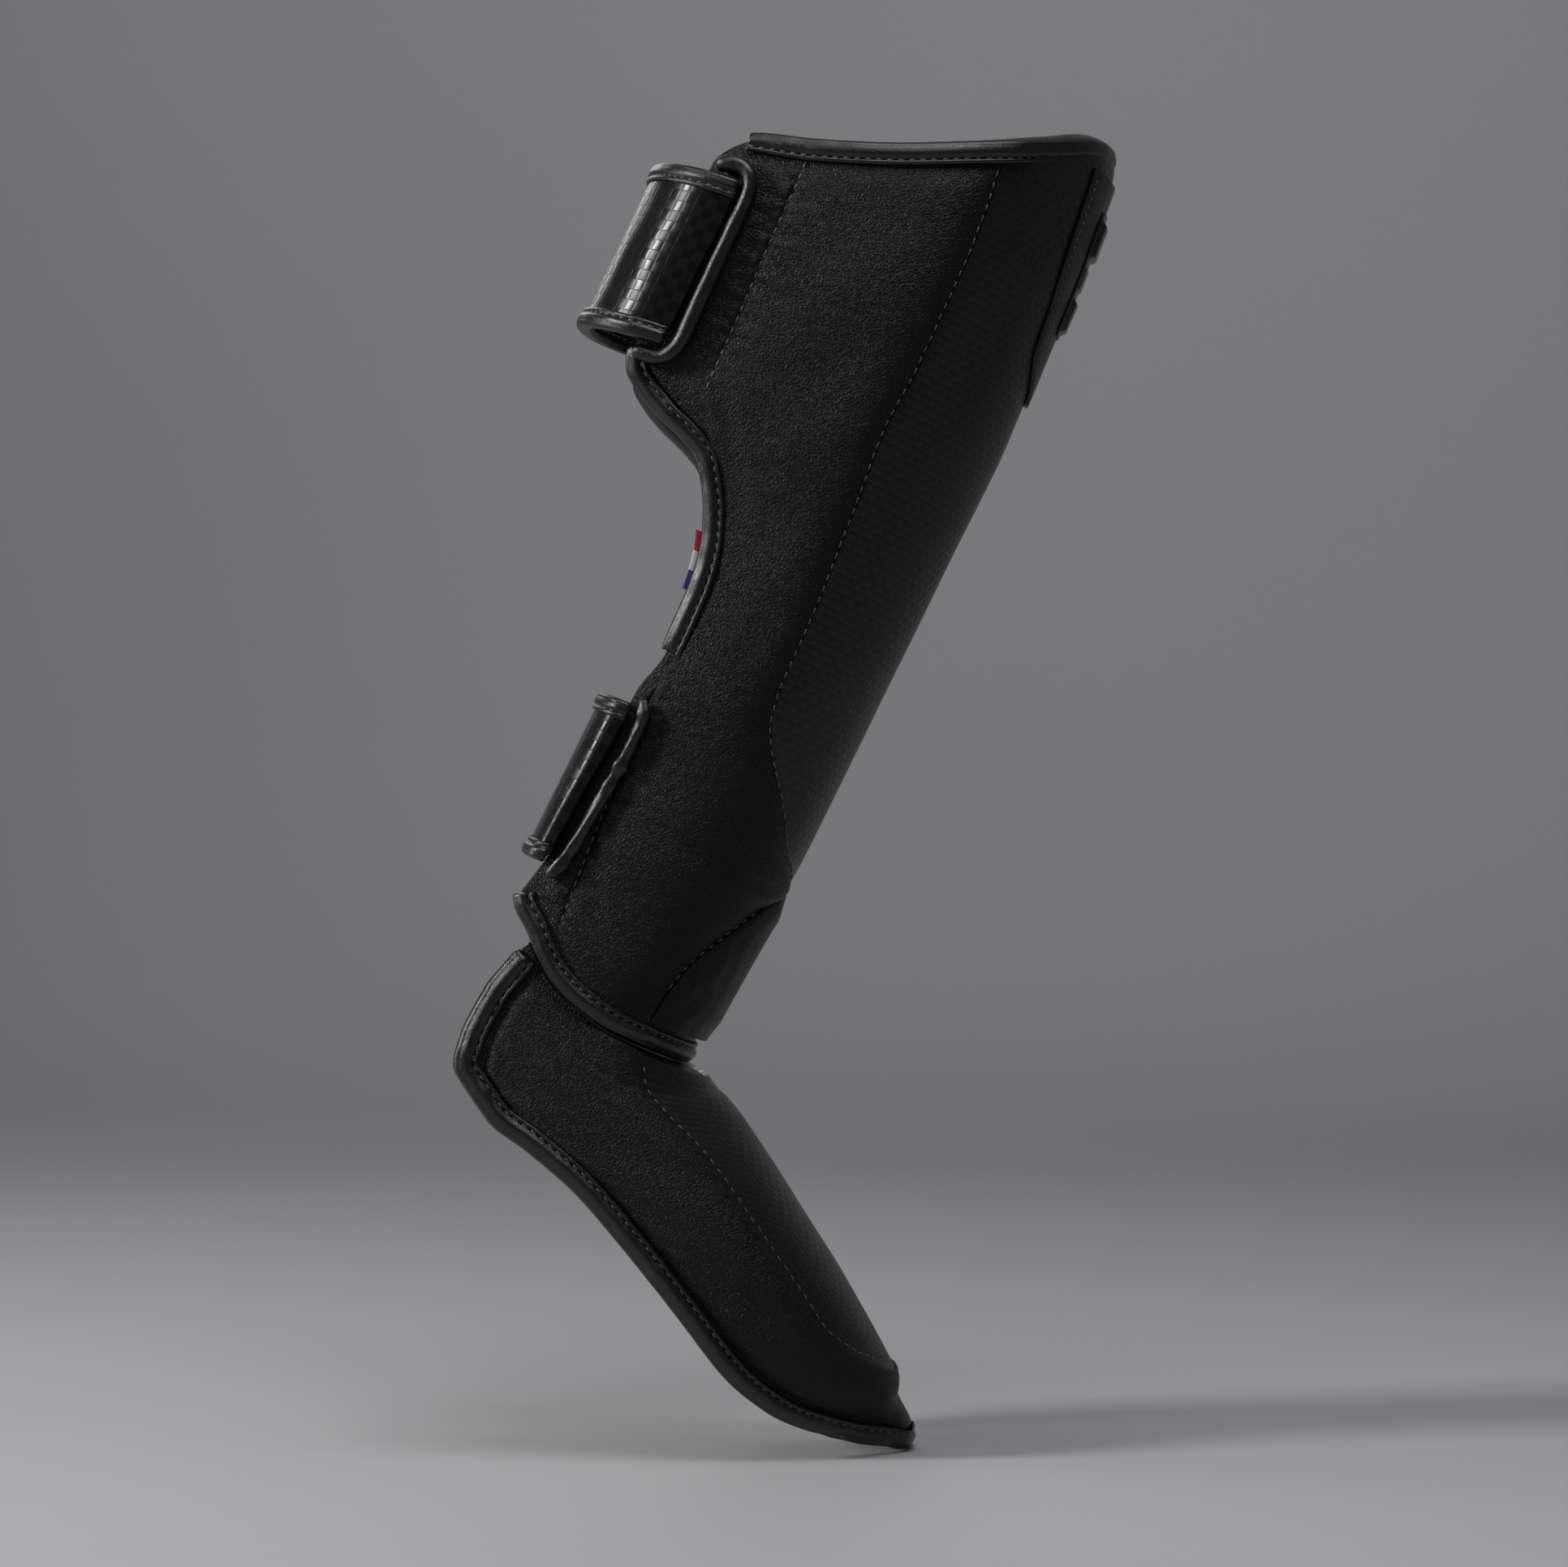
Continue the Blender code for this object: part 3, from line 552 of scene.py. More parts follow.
def stitches(name, rows, look):         # each row is a line of points and the way up at each
    bm = bmesh.new()
    for line, up in rows:
        reach = runLength(line)
        count = int(reach[-1] / look["pitch"])
        for k in range(count):
            ends = [(k + .5 + half) * look["pitch"] for half in (-.3, 0, .3)]
            a, p, b = (Vector([np.interp(e, reach, line[:, j]) for j in range(3)]) for e in ends)
            n = Vector([np.interp(ends[1], reach, up[:, j]) for j in range(3)]).normalized()
            way = (b - a).normalized()
            side = n.cross(way).normalized()
            lift = way.cross(side)
            axes = Matrix((way * look["long"], side * look["wide"], lift * look["high"]))
            turn = axes.transposed().to_4x4()
            bmesh.ops.create_icosphere(bm, subdivisions=1, radius=1,
                                       matrix=Matrix.Translation(p + n * look["rise"]) @ turn)
    mesh = bpy.data.meshes.new(name)
    bm.to_mesh(mesh)
    bm.free()
    return settle(name, mesh, [threadPaintedGlint])


# Leather folded over a rim, which is given as its outer edge, its inner edge and a line inward of each
def binding(name, rim, look, **more):
    po, pi, qo, qi = rim
    mids = (po + pi) / 2
    way = unit(np.gradient(mids, axis=0))
    if look.get("ease"):
        way = unit(eased(way, look["ease"]))

    def square(v):
        return unit(v - way * dot(v, way))

    mo, mi, u = square(qo - po), square(qi - pi), square(po - pi)
    e = unit(mo + mi)
    e = unit(e - u * dot(e, u))
    no, ni = np.cross(way, mo), np.cross(way, mi)
    no, ni = no * np.sign(dot(no, u)), ni * np.sign(dot(ni, u))
    reach = runLength(mids)
    pull = np.cos(reach * 2 * math.pi / look["pitch"])[:, None]
    crinkle = waves(reach, 0 * reach, look["seed"], .011)[:, None] * look["crinkle"]
    half = np.linalg.norm(po - pi, axis=1, keepdims=True) / 2
    ends = np.clip(np.minimum(reach, reach[-1] - reach) / look.get("taper", 1e-4), 0, 1)[:, None]
    full = .25 + .75 * np.sqrt(1 - (1 - ends) ** 2)
    if "thin" in look:
        full = full * look["thin"][:, None]
    legs = np.concatenate((np.linspace(1, look["stitchAt"], 9), np.linspace(look["stitchAt"], 0, 14)[1:-1]))

    def leatherLift(r):                 # the roll, the stitched groove and the narrow lip beyond it
        groove = look["thick"] * look["groove"]
        if r > look["stitchAt"]:
            bead = math.sin(math.pi * (r - look["stitchAt"]) / (1 - look["stitchAt"])) ** .7 * look["bead"]
            return (groove + bead * (1 + .12 * pull)) * full
        risen = math.sin(math.pi / 2 * min(1, (1 - r / look["stitchAt"]) * 2.4)) ** .8
        swell = look["thick"] - groove + look["puff"] * math.sin(math.pi * r / look["stitchAt"])
        tug = .00012 * pull * math.exp(-((r - look["stitchAt"]) / .12) ** 2)
        return (groove + risen * (swell + crinkle) + tug) * full

    faces = []
    for thick in (look["thick"], 0.0):
        lines = []
        for r in legs:
            lines.append(po + mo * r * look["reach"] + no * (look["gap"] + (leatherLift(r) if thick else 0)))
        for th in np.linspace(0, math.pi, 17):
            wide = half + look["gap"] + ((thick + crinkle) * full if thick else 0)
            tall = look["gap"] + thick * look["round"] * full
            x, y = math.copysign(abs(math.cos(th)) ** .85, math.cos(th)), math.sin(th) ** .85
            lines.append(mids + u * wide * x - e * tall * y)
        for r in legs[::-1]:
            lines.append(pi + mi * r * look["reach"] - ni * (look["gap"] + (leatherLift(r) if thick else 0)))
        faces.append(np.stack(lines, 1))
    across = runLength(np.swapaxes(faces[0], 0, 1)).T
    run = np.stack([across, np.broadcast_to(reach[:, None], across.shape)], -1)
    piece = sewn(name, faces[0], faces[1], [turnedLeather], run, **more)
    r = look["stitchAt"]
    lift = look["gap"] + look["thick"] * look["groove"]
    rows = [(po + mo * r * look["reach"] + no * lift, no), (pi + mi * r * look["reach"] - ni * lift, -ni)]
    stitches(name + "Stitches", rows, look["thread"])
    return piece


bindingThread = {"pitch": .0042, "long": .0013, "wide": .00038, "high": .00036, "rise": .00018}
seamThread = {"pitch": .0046, "long": .0015, "wide": .00042, "high": .00040, "rise": .00018}

# Shin pad: two puffed side panels, rolled rear edges, a bed for the front panel, all over one foam wall
shinPad = {"rows": 330, "lip": -.0004, "crest": .0016, "crestAt": .0100, "body": .0014, "bodyAt": .012,
           "quiltDepth": .0011, "quiltWidth": .0011, "quiltSag": .0046, "roll": .0013, "scallop": .00045,
           "pitch": .0046, "pucker": .00036, "puckerReach": .0085, "dents": .00045, "edgeRound": .0034}
# Folds on the outer side: from share and depth share, to the same, width and depth
shinFolds = ((.052, .585, .075, .640, .0028, .0007), (.075, .640, .083, .700, .0026, .0006),
             (.100, .800, .092, .850, .0018, .0006), (.150, .740, .165, .690, .0030, .0004),
             (.395, .700, .440, .610, .0035, .0005), (.45, .60, .50, .52, .0040, .0004),
             (.72, .50, .76, .44, .0035, .0004), (.86, .47, .90, .40, .0040, .0005))


def halfColumns(stretches):
    parts = [np.linspace(a, b, n, endpoint=False) for a, b, n in stretches]
    half = np.concatenate(parts + [[stretches[-1][1]]])
    return np.concatenate((-half[:0:-1], half))


def distanceFrom(arc, columns, mark):   # along each row, from the column of that number on either side
    at = np.abs(np.abs(columns) - mark)
    right = arc[:, columns > 0][:, np.argmin(at[columns > 0])][:, None]
    left = arc[:, columns < 0][:, np.argmin(at[columns < 0])][:, None]
    return np.where(columns[None] > 0, arc - right, left - arc)


def foldDepth(s, d, folds, length, depth):
    total = 0
    for s0, d0, s1, d1, wide, deep in folds:
        a, b = np.array((s0 * length, d0 * depth)), np.array((s1 * length, d1 * depth))
        way = b - a
        t = np.clip(((s - a[0]) * way[0] + (d - a[1]) * way[1]) / (way @ way), 0, 1)
        far = np.hypot(s - a[0] - way[0] * t, d - a[1] - way[1] * t)
        fade = np.sin(math.pi * (.12 + .76 * t))
        shape = np.exp(-(far / wide) ** 2) - .5 * np.exp(-((far - 1.7 * wide) / wide) ** 2)
        total = total - deep * fade * shape
    return total


shinColumnList = halfColumns(((0, 3.7, 14), (3.7, 4, 3), (4, 4.3, 3), (4.3, 6, 9), (6, 8.7, 32),
                              (8.7, 9.3, 12), (9.3, 10.7, 12), (10.7, 11, 7)))
shinShares = np.linspace(0, 1, shinPad["rows"])
along, share = shinPlaces(shinShares, shinColumnList)
baseShin = shinPoint(along, share)
arcShin = runLength(np.swapaxes(baseShin, 0, 1)).T
arcShin = arcShin - arcShin[:, len(shinColumnList) // 2][:, None]
seamFar = distanceFrom(arcShin, shinColumnList, 4)
seamArc = np.abs(arcShin - seamFar * np.sign(shinColumnList))[:, -1]
seamSlope = np.gradient(seamArc) / np.gradient(along[:, -1])
seamFar = seamFar / np.sqrt(1 + np.minimum(seamSlope ** 2, 4))[:, None]
quiltFar = distanceFrom(arcShin, shinColumnList, 9)
edgeFar = -distanceFrom(arcShin, shinColumnList, 11)
wing = 1 - calfOpen(along / shinLength)
rimShin = (ramp(shinShares, .022, .052) * (1 - ramp(shinShares, .925, .972)))[:, None]
tall = along + 0 * arcShin
x = np.maximum(seamFar, 0)
swell = (shinPad["lip"] + shinPad["crest"] * x / shinPad["crestAt"] * np.exp(1 - x / shinPad["crestAt"])
         + shinPad["body"] * (1 - np.exp(-x / shinPad["bodyAt"])))
q = np.abs(quiltFar)
pinch = np.exp(-(q / shinPad["quiltSag"]) ** 1.3) * wing
roll = shinPad["roll"] * np.sin(np.clip(quiltFar / (quiltFar + edgeFar + 1e-6), 0, 1) * math.pi) * wing
swell = np.where(quiltFar > 0, roll + swell * pinch * .2, swell * (1 - pinch * .65))
swell = swell - shinPad["quiltDepth"] * np.exp(-(q / shinPad["quiltWidth"]) ** 2) * wing
beat = np.cos(tall * 2 * math.pi / shinPad["pitch"])
atSeams = np.exp(-((q - .0022) / .0012) ** 2) * wing + .7 * np.exp(-x / .0022)
swell = swell + shinPad["scallop"] * beat * atSeams
side = np.sign(shinColumnList)[None]
pucker = waves(tall + .3 * side * tall, .15 * x, 5, .0085) * np.exp(-x / shinPad["puckerReach"])
pucker = pucker * ramp(x, 0, .0015) + waves(tall, .5 * quiltFar, 11, .0080) * ramp(q, .0003, .0020) * np.exp(
    -q / shinPad["puckerReach"]) * wing * 1.5
dents = waves(arcShin, tall, 3, .052) * shinPad["dents"] * ramp(x, .006, .02)
depthShin = section(np.abs(share), *shinRow(along), 0.0)[0]
folds = foldDepth(along, depthShin, shinFolds, shinLength, shinDepth) * (shinColumnList < 0)[None]
tip = ramp(along / shinLength, .792, .796) * (1 - ramp(along / shinLength, .800, .804))
liftShin = np.where(seamFar > 1e-6, swell + shinPad["pucker"] * pucker + dents + folds, 0)
liftShin = liftShin * rimShin - panelRecess * (seamFar <= 1e-6) * (1 - tip)
rounded = np.clip(1 - edgeFar / shinPad["edgeRound"], 0, 1)
turn = shinPad["edgeRound"] * (1 - np.sqrt(np.maximum(1 - rounded ** 2, 0)))
wallShin = shinWall(shinShares[:, None], share)
channels = .0012 * np.abs(np.sin(arcShin * math.pi / .030)) ** .4 * rimShin * (np.abs(share) < 1.6)
outerShin = shinPoint(along, share, liftShin - turn)
innerShin = shinPoint(along, share, -wallShin + turn - channels + .0012 * rimShin * (np.abs(share) < 1.6))
runShin = np.stack([arcShin, tall], -1)
pad = sewn("shinPad", outerShin, innerShin, [blackLeather, liningCloth], runShin, slot="leather",
           stands=("shin_shell",), sharp=55)
print("shin pad is sewn")


def sheetLine(sheet, columns, column, first, final):     # a line on a sewn sheet, and the way up along it
    at = np.interp(column, columns, np.arange(len(columns)))
    k = int(at)
    line = sheet[:, k] + (sheet[:, k + 1] - sheet[:, k]) * (at - k)
    up = unit(np.cross(np.gradient(line, axis=0), sheet[:, k + 1] - sheet[:, k]))
    up = up * np.sign(np.sum(up * (line - line.mean(axis=0) * (1, 0, 1))))
    rows = slice(int(first * len(line)), int(final * len(line)))
    return line[rows], eased(up, 4)[rows]


def seamRow(name, sheet, columns, column, stretches):    # the same seam on both sides
    lines = [sheetLine(sheet, columns, side * column, first, final)
             for side in (-1, 1) for first, final in stretches]
    stitches(name, lines, seamThread)


seamRow("frontSeamStitches", outerShin, shinColumnList, 4.24, ((.03, .79),))
seamRow("quiltStitches", outerShin, shinColumnList, 9, ((.022, .33), (.70, .955)))

# Front panel of embossed leather, let into the pad
frontPanel = {"rows": 300, "columns": 90, "top": .0001, "edge": .996, "sink": .0011, "shoulder": .0075}
panelMarks = np.linspace(0, .792, frontPanel["rows"])
panelColumns = np.sin(np.linspace(-math.pi / 2, math.pi / 2, frontPanel["columns"])) * 4 * frontPanel["edge"]
panelAlong, panelShare = shinPlaces(panelMarks, panelColumns)
panelArc = runLength(np.swapaxes(shinPoint(panelAlong, panelShare), 0, 1)).T
panelArc = panelArc - panelArc[:, :1] / 2 - panelArc[:, -1:] / 2
panelFar = panelArc[:, -1:] - np.abs(panelArc)
panelLift = -frontPanel["top"] - frontPanel["sink"] * np.exp(-(panelFar / frontPanel["shoulder"]) ** 1.4)
panelLift = panelLift + waves(panelArc, panelAlong, 21, .045) * .00012
sewn("frontPanel", shinPoint(panelAlong, panelShare, panelLift),
     shinPoint(panelAlong, panelShare, -panelLow - 0 * panelLift), [embossedLeather],
     np.stack([panelArc, panelAlong], -1), slot="embossed_leather", stands=("shin_front_panel",))

# Puffed patch over the front of the ankle
anklePatch = {"rows": 90, "columns": 90, "edge": .0006, "puff": .0028, "round": .985}
patchShares = np.linspace(.806, .976, anklePatch["rows"])
patchColumns = np.sin(np.linspace(-math.pi / 2, math.pi / 2, anklePatch["columns"])) * 4 * anklePatch["round"]
patchAlong, patchShare = shinPlaces(patchShares, patchColumns)
crown = 1 - (patchColumns[None] / 4) ** 2
patchPuff = anklePatch["edge"] + anklePatch["puff"] * crown ** .6 * ramp(patchShares, .806, .84)[:, None] * (
    1 - .5 * ramp(patchShares, .95, .976)[:, None])
patchArc = runLength(np.swapaxes(shinPoint(patchAlong, patchShare), 0, 1)).T
patchArc = patchArc - patchArc[:, -1:] / 2
patchPuff = patchPuff + waves(patchArc, patchAlong, 31, .014) * .0003 * crown * (1 - crown) * 3
patchTurn = .0010 * (np.abs(patchColumns / 4) ** 20)[None]
patchTurn = patchTurn + .0006 * (1 - ramp(patchShares, .806, .812))[:, None]
patch = sewn("anklePatch", shinPoint(patchAlong, patchShare, patchPuff - patchTurn),
             shinPoint(patchAlong, patchShare, -panelLow - 0 * patchPuff), [blackLeather],
             np.stack([patchArc, patchAlong], -1), slot="smooth_leather", stands=("ankle_patch",))
seamRow("patchStitches", outerShin, shinColumnList, 4.24, ((.825, .95),))

# Badge panel of smooth leather down the front, with moulded bars
badgePanel = {"rows": 110, "columns": 50, "top": .0017, "low": .0003, "first": .033, "last": .2645}


def badgePlaces(marks, fractions):
    s = np.broadcast_to((shinLength * marks)[:, None], (len(marks), len(fractions)))
    return s, fractions[None] * through(badgeEdge, marks)[:, None]


badgeMarks = np.linspace(badgePanel["first"], badgePanel["last"], badgePanel["rows"])
fractions = np.sin(np.linspace(-math.pi / 2, math.pi / 2, badgePanel["columns"]))
badgeAlong, badgeShare = badgePlaces(badgeMarks, fractions)
badgeLift = badgePanel["top"] - .0008 * np.abs(fractions[None]) ** 24 - .0003 * np.exp(
    -((np.abs(fractions[None]) - .93) / .02) ** 2)
badgeRun = np.stack([badgeShare * .09, badgeAlong], -1)
sewn("badgePanel", shinPoint(badgeAlong, badgeShare, badgeLift + 0 * badgeAlong),
     shinPoint(badgeAlong, badgeShare, badgePanel["low"] + 0 * badgeAlong), [smoothLeather], badgeRun,
     slot="smooth_leather", stands=("badge_panel",))


def badgeLine(fraction):
    marks = np.linspace(.04, .256, 200)
    s, a = shinLength * marks, fraction * through(badgeEdge, marks)
    p = shinPoint(s, a)
    n = unit(shinPoint(s, a, .001) - p)
    return p + n * (badgePanel["top"] - .0002), n


badgeThread = {"pitch": .0034, "long": .0011, "wide": .0003, "high": .00026, "rise": .0001}
stitches("badgeStitches", [badgeLine(-.93), badgeLine(.93)], badgeThread)

barForm = {"rows": 150, "columns": 60, "wide": .46, "low": .0021, "foot": .0027}
# From share, to share, height
bars = ((.068, .109, .0046), (.115, .143, .0033), (.149, .186, .0044))
barMarks = np.linspace(.062, .190, barForm["rows"])
barFractions = np.sin(np.linspace(-math.pi / 2, math.pi / 2, barForm["columns"])) * barForm["wide"]
barAlong, barShare = badgePlaces(barMarks, barFractions)
raised = barForm["foot"] + 0 * barAlong
for first, final, high in bars:
    body = (ramp(barMarks, first, first + .005) * (1 - ramp(barMarks, final - .005, final)))[:, None]
    ends = 1 - ramp(np.abs(barFractions[None]) / barForm["wide"], .80, .93)
    raised = raised + (high - barForm["foot"]) * body * ends
raised = raised - .0005 * np.abs(barFractions[None] / barForm["wide"]) ** 20
sewn("badgeBars", shinPoint(barAlong, barShare, raised),
     shinPoint(barAlong, barShare, barForm["low"] + 0 * raised), [mouldedRubber],
     np.stack([barShare * .09, barAlong], -1), slot="moulded_rubber", stands=("badge",), sharp=40)
print("front panel, patch and badge are sewn")


# Bindings folded over the pad's rims
topFold = {"reach": .0070, "thick": .0015, "gap": .0008, "round": 1.0, "puff": .0005, "groove": .30,
           "bead": .0007, "stitchAt": .72, "pitch": .0042, "crinkle": .00010, "seed": 41,
           "thread": bindingThread}
hemFold = dict(topFold, gap=.0006, seed=43, puff=.0007)
calfFold = dict(topFold, gap=.0011, seed=47, puff=.0006, crinkle=.00016, taper=.012)


def rimPair(mark, columns, lift):
    s, a = shinPlaces(np.array([mark]), columns)
    s, a = s[0], a[0]
    return shinPoint(s, a, lift), shinPoint(s, a, -shinWall(mark, a))


def rimAlongTop(mark, inward):
    columns = np.interp(np.linspace(0, 1, 300), np.linspace(0, 1, 23), np.arange(-11, 12))
    lift = np.where(np.abs(columns) <= 4, -panelRecess * (1 - ramp(np.abs(columns), 3.4, 4)), 0.0)
    po, pi = rimPair(mark, columns, lift)
    qo, qi = rimPair(inward, columns, lift)
    lines = np.concatenate((po, pi, qo, qi), 1)
    lines = resample(lines, 300)
    return np.split(lines, 4, axis=1)


binding("bindingTop", rimAlongTop(0.0, .026), topFold, slot="leather", stands=("binding_top",))
binding("bindingHem", rimAlongTop(1.0, .976), hemFold, slot="leather", stands=("binding_bottom",))
for label, edge in (("Outer", -1), ("Inner", 1)):
    marks = np.linspace(.305, .635, 130)
    s, a = shinPlaces(marks, np.array([edge * 11.0]))
    s2, a2 = shinPlaces(marks, np.array([edge * 10.0]))
    s, a, s2, a2 = s[:, 0], a[:, 0], s2[:, 0], a2[:, 0]
    rim = (shinPoint(s, a), shinPoint(s, a, -shinWall(marks, a)), shinPoint(s2, a2),
           shinPoint(s2, a2, -shinWall(marks, a2)))
    binding("bindingCalf" + label, rim, calfFold, slot="leather", stands=("binding_calf_" + label.lower(),))
print("shin bindings are folded")

# Tag on the inner calf edge
tag = {"first": .515, "length": .06, "from": .0036, "to": .0086, "thick": .0006}
tagMarks = shinLength * (tag["first"] + tag["length"] * np.linspace(0, 1, 40))
tagEdge = shinPoint(tagMarks, 2 + 0 * tagMarks, -edgeWall / 2)
tagWay = unit(tagEdge - shinPoint(tagMarks, 1.9 + 0 * tagMarks, -edgeWall / 2))
tagUp = unit(shinPoint(tagMarks, 2 + 0 * tagMarks, .001) - shinPoint(tagMarks, 2 + 0 * tagMarks))
tagReach = np.linspace(tag["from"], tag["to"], 9)
tagFaces = []
for sideways in (1, -1):
    bulge = tag["thick"] * (1 - .7 * ((tagReach - tag["from"]) / .005) ** 6)
    tagFaces.append(tagEdge[:, None] + tagWay[:, None] * tagReach[None, :, None]
                    + tagUp[:, None] * (sideways * bulge)[None, :, None])
tagRun = np.stack(np.meshgrid(np.linspace(0, .2, 9), np.linspace(0, 1, 40)), -1)
sewn("wovenTag", tagFaces[0], tagFaces[1], [tagWeave], tagRun, slot="woven_tag", stands=("tag",))


# Straps
def lapHalf(s, lap, top, bottom):
    ends = []
    for e in (top + strapOrigin, bottom + strapOrigin):
        e = np.zeros_like(s) + e
        ends.append(section(shareAtDepth(e, lap + 0 * s), *shinRow(e), 0.0)[1])
    return ends[0] + (ends[1] - ends[0]) * (s - strapOrigin - top) / (bottom - top)


def bent(x, centre, reach, half, power):
    turned = math.pi / 2 * (1 - np.abs(x))
    return (centre + reach * np.sin(turned) ** (2 / power),
            np.sign(x) * half * np.cos(turned) ** (2 / power))


upperStrap = {"top": -.0393, "bottom": .0270, "drop": .005, "lap": .137, "back": .1705, "stand": .0053,
              "power": 2.6, "thick": .003}
lowerStrap = {"top": .1582, "bottom": .2248, "drop": .001, "lap": .0860, "back": .0980, "stand": .0049,
              "power": 3.2, "thick": .003}


def upperPath(s, x, off):
    lap = upperStrap["lap"]
    y0 = lapHalf(s, lap, -.0405, .0282) + upperStrap["stand"] + off
    return bent(x, lap, upperStrap["back"] - lap + off, y0, upperStrap["power"])


def lowerPath(s, x, off):
    lap = lowerStrap["lap"] + .004 * (s - strapOrigin - .157) / (.226 - .157)
    y0 = lapHalf(s, lap, .157, .226) + lowerStrap["stand"] + off
    return bent(x, lap, lowerStrap["back"] - lap + off, y0, lowerStrap["power"])


edgeFold = {"reach": .0058, "thick": .0011, "gap": .00035, "round": 1.2, "puff": .0004, "groove": .35,
            "bead": .0005, "stitchAt": .66, "pitch": .0042, "crinkle": .00012, "seed": 61,
            "thread": bindingThread}


def strap(name, node, path, look):
    x = np.linspace(-1, 1, 150)
    x = np.sign(x) * np.abs(x) ** .85
    r = np.linspace(0, 1, 44)
    xx, rr = np.meshgrid(x, r)
    s = look["top"] + (look["bottom"] - look["top"]) * rr + strapOrigin
    fall = look["drop"] * (1 - xx * xx)
    ripple = waves(xx * .12, rr * .066, 71 + len(name), .034) * .00022 * np.sin(math.pi * rr)
    faces = []
    for off, wavy in ((look["thick"] / 2, 1), (-look["thick"] / 2, .5)):
        d, y = path(s, xx, off)
        d = d + ripple * wavy
        faces.append(shinWorld(s + fall, d, y))
    arc = runLength(np.swapaxes(faces[0], 0, 1)).T
    run = np.stack([arc, rr * .0662], -1)
    piece = sewn(name, faces[0], faces[1], [strapWeave, strapBacking], run, slot="woven_strap",
                 stands=(node,))
    for label, s0, inward in (("top", look["top"], 1), ("bottom", look["bottom"], -1)):
        edges = []
        for s1 in (s0 + strapOrigin, s0 + strapOrigin + .006 * inward):
            for off in (look["thick"] / 2, -look["thick"] / 2):
                one = np.full_like(x, s1)
                d, y = path(one, x, off)
                edges.append(shinWorld(one + look["drop"] * (1 - x * x), d, y))
        lines = resample(np.concatenate(edges, 1), 170)
        binding(name + label.capitalize() + "Edge", np.split(lines, 4, axis=1), edgeFold, slot="leather",
                stands=(node + "_edge_" + label,))
    return piece


strap("strapUpper", "strap_upper", upperPath, upperStrap)
strap("strapLower", "strap_lower", lowerPath, lowerStrap)


def piping(name, path, look, **more):   # a leather-wrapped cord round a strap's opening
    smoothPath = eased(resample(np.array(path), 160), 5)
    s, d = smoothPath[:, 0] + strapOrigin, smoothPath[:, 1]
    a = -shareAtDepth(s, d)
    up = unit(shinPoint(s, a, 1.0) - shinPoint(s, a))
    line = shinPoint(s, a, look["radius"] + .0013)
    way = unit(np.gradient(line, axis=0))
    up = unit(up - way * dot(up, way))
    across = np.cross(way, up)
    bm = bmesh.new()
    bmesh.ops.create_cone(bm, cap_ends=True, segments=20, radius1=1, radius2=1, depth=1)
    tall = [e for e in bm.edges if abs(e.verts[0].co.z - e.verts[1].co.z) > .5]
    bmesh.ops.subdivide_edges(bm, edges=tall, cuts=len(s) - 2)
    reach = runLength(line)
    swell = 1 + look["crinkle"] * waves(reach, 0 * reach, look["seed"], look["wave"])
    ends = np.minimum(np.minimum(reach, reach[-1] - reach) / look["radius"], 1)
    swell = swell * (.55 + .45 * np.sqrt(np.maximum(1 - (1 - ends) ** 2, 0)))
    for v in bm.verts:
        k = int(round((v.co.z + .5) * (len(s) - 1)))
        spin = math.atan2(v.co.y, v.co.x)
        r = look["radius"] * swell[k] * (1 + look["flute"] * math.sin(3 * spin + reach[k] / look["wave"]))
        flat = math.hypot(v.co.x, v.co.y)
        v.co = Vector(line[k] + (across[k] * v.co.x * look["wide"] + up[k] * v.co.y) * r / max(flat, 1e-6))
    mesh = bpy.data.meshes.new(name)
    bmesh.ops.recalc_face_normals(bm, faces=bm.faces[:])
    bm.to_mesh(mesh)
    bm.free()
    return settle(name, mesh, [turnedLeather], **more)


# Along the shin from the straps' origin, and depth
upperFramePath = ((-.0425, .1475), (-.0460, .1420), (-.0465, .1365), (-.0430, .1325), (-.0370, .1310),
                  (-.022, .1308), (-.006, .1305), (.010, .1300), (.023, .1295), (.0300, .1312),
                  (.0335, .1350), (.0340, .1410), (.0345, .1455))
lowerFramePath = ((.1530, .0825), (.1560, .0800), (.162, .0788), (.172, .0786), (.183, .0788), (.194, .0795),
                  (.205, .0803), (.216, .0812), (.2245, .0825), (.2310, .0850))
piping("strapUpperFrame", upperFramePath,
       {"radius": .0031, "crinkle": .035, "wave": .012, "flute": .03, "wide": 1.0, "seed": 81},
       slot="leather", stands=("strap_upper_frame",))
piping("strapLowerFrame", lowerFramePath,
       {"radius": .0026, "crinkle": .12, "wave": .006, "flute": .08, "wide": 1.0, "seed": 83},
       slot="leather", stands=("strap_lower_frame",))
print("straps are on")

# Foot pad: side panels, a bed for its front panel, and the toe
footPad = {"rows": 210, "lip": -.0004, "crest": .0016, "crestAt": .0105, "body": .0018, "bodyAt": .012,
           "pitch": .0046, "scallop": .00030, "pucker": .00032, "puckerReach": .0080, "dents": .00045,
           "ridge": .0009, "ridgeAt": .0135, "ridgeWide": .0032, "sunk": .0005, "sunkAt": .0092,
           "sunkWide": .0014, "cornerIn": .16}
footColumnList = halfColumns(((0, 2.7, 10), (2.7, 3, 3), (3, 3.4, 4), (3.4, 5, 9), (5, 7.6, 34), (7.6, 8, 6)))


def footStations(count):                # stations spaced evenly along the foot's front
    fine = np.linspace(0, 14, 900)
    reach = runLength(footBase(fine, 0 * fine + 1.4)) + runLength(footBase(fine, 0 * fine + .3))
    return np.interp(np.linspace(0, reach[-1], count), reach, fine)


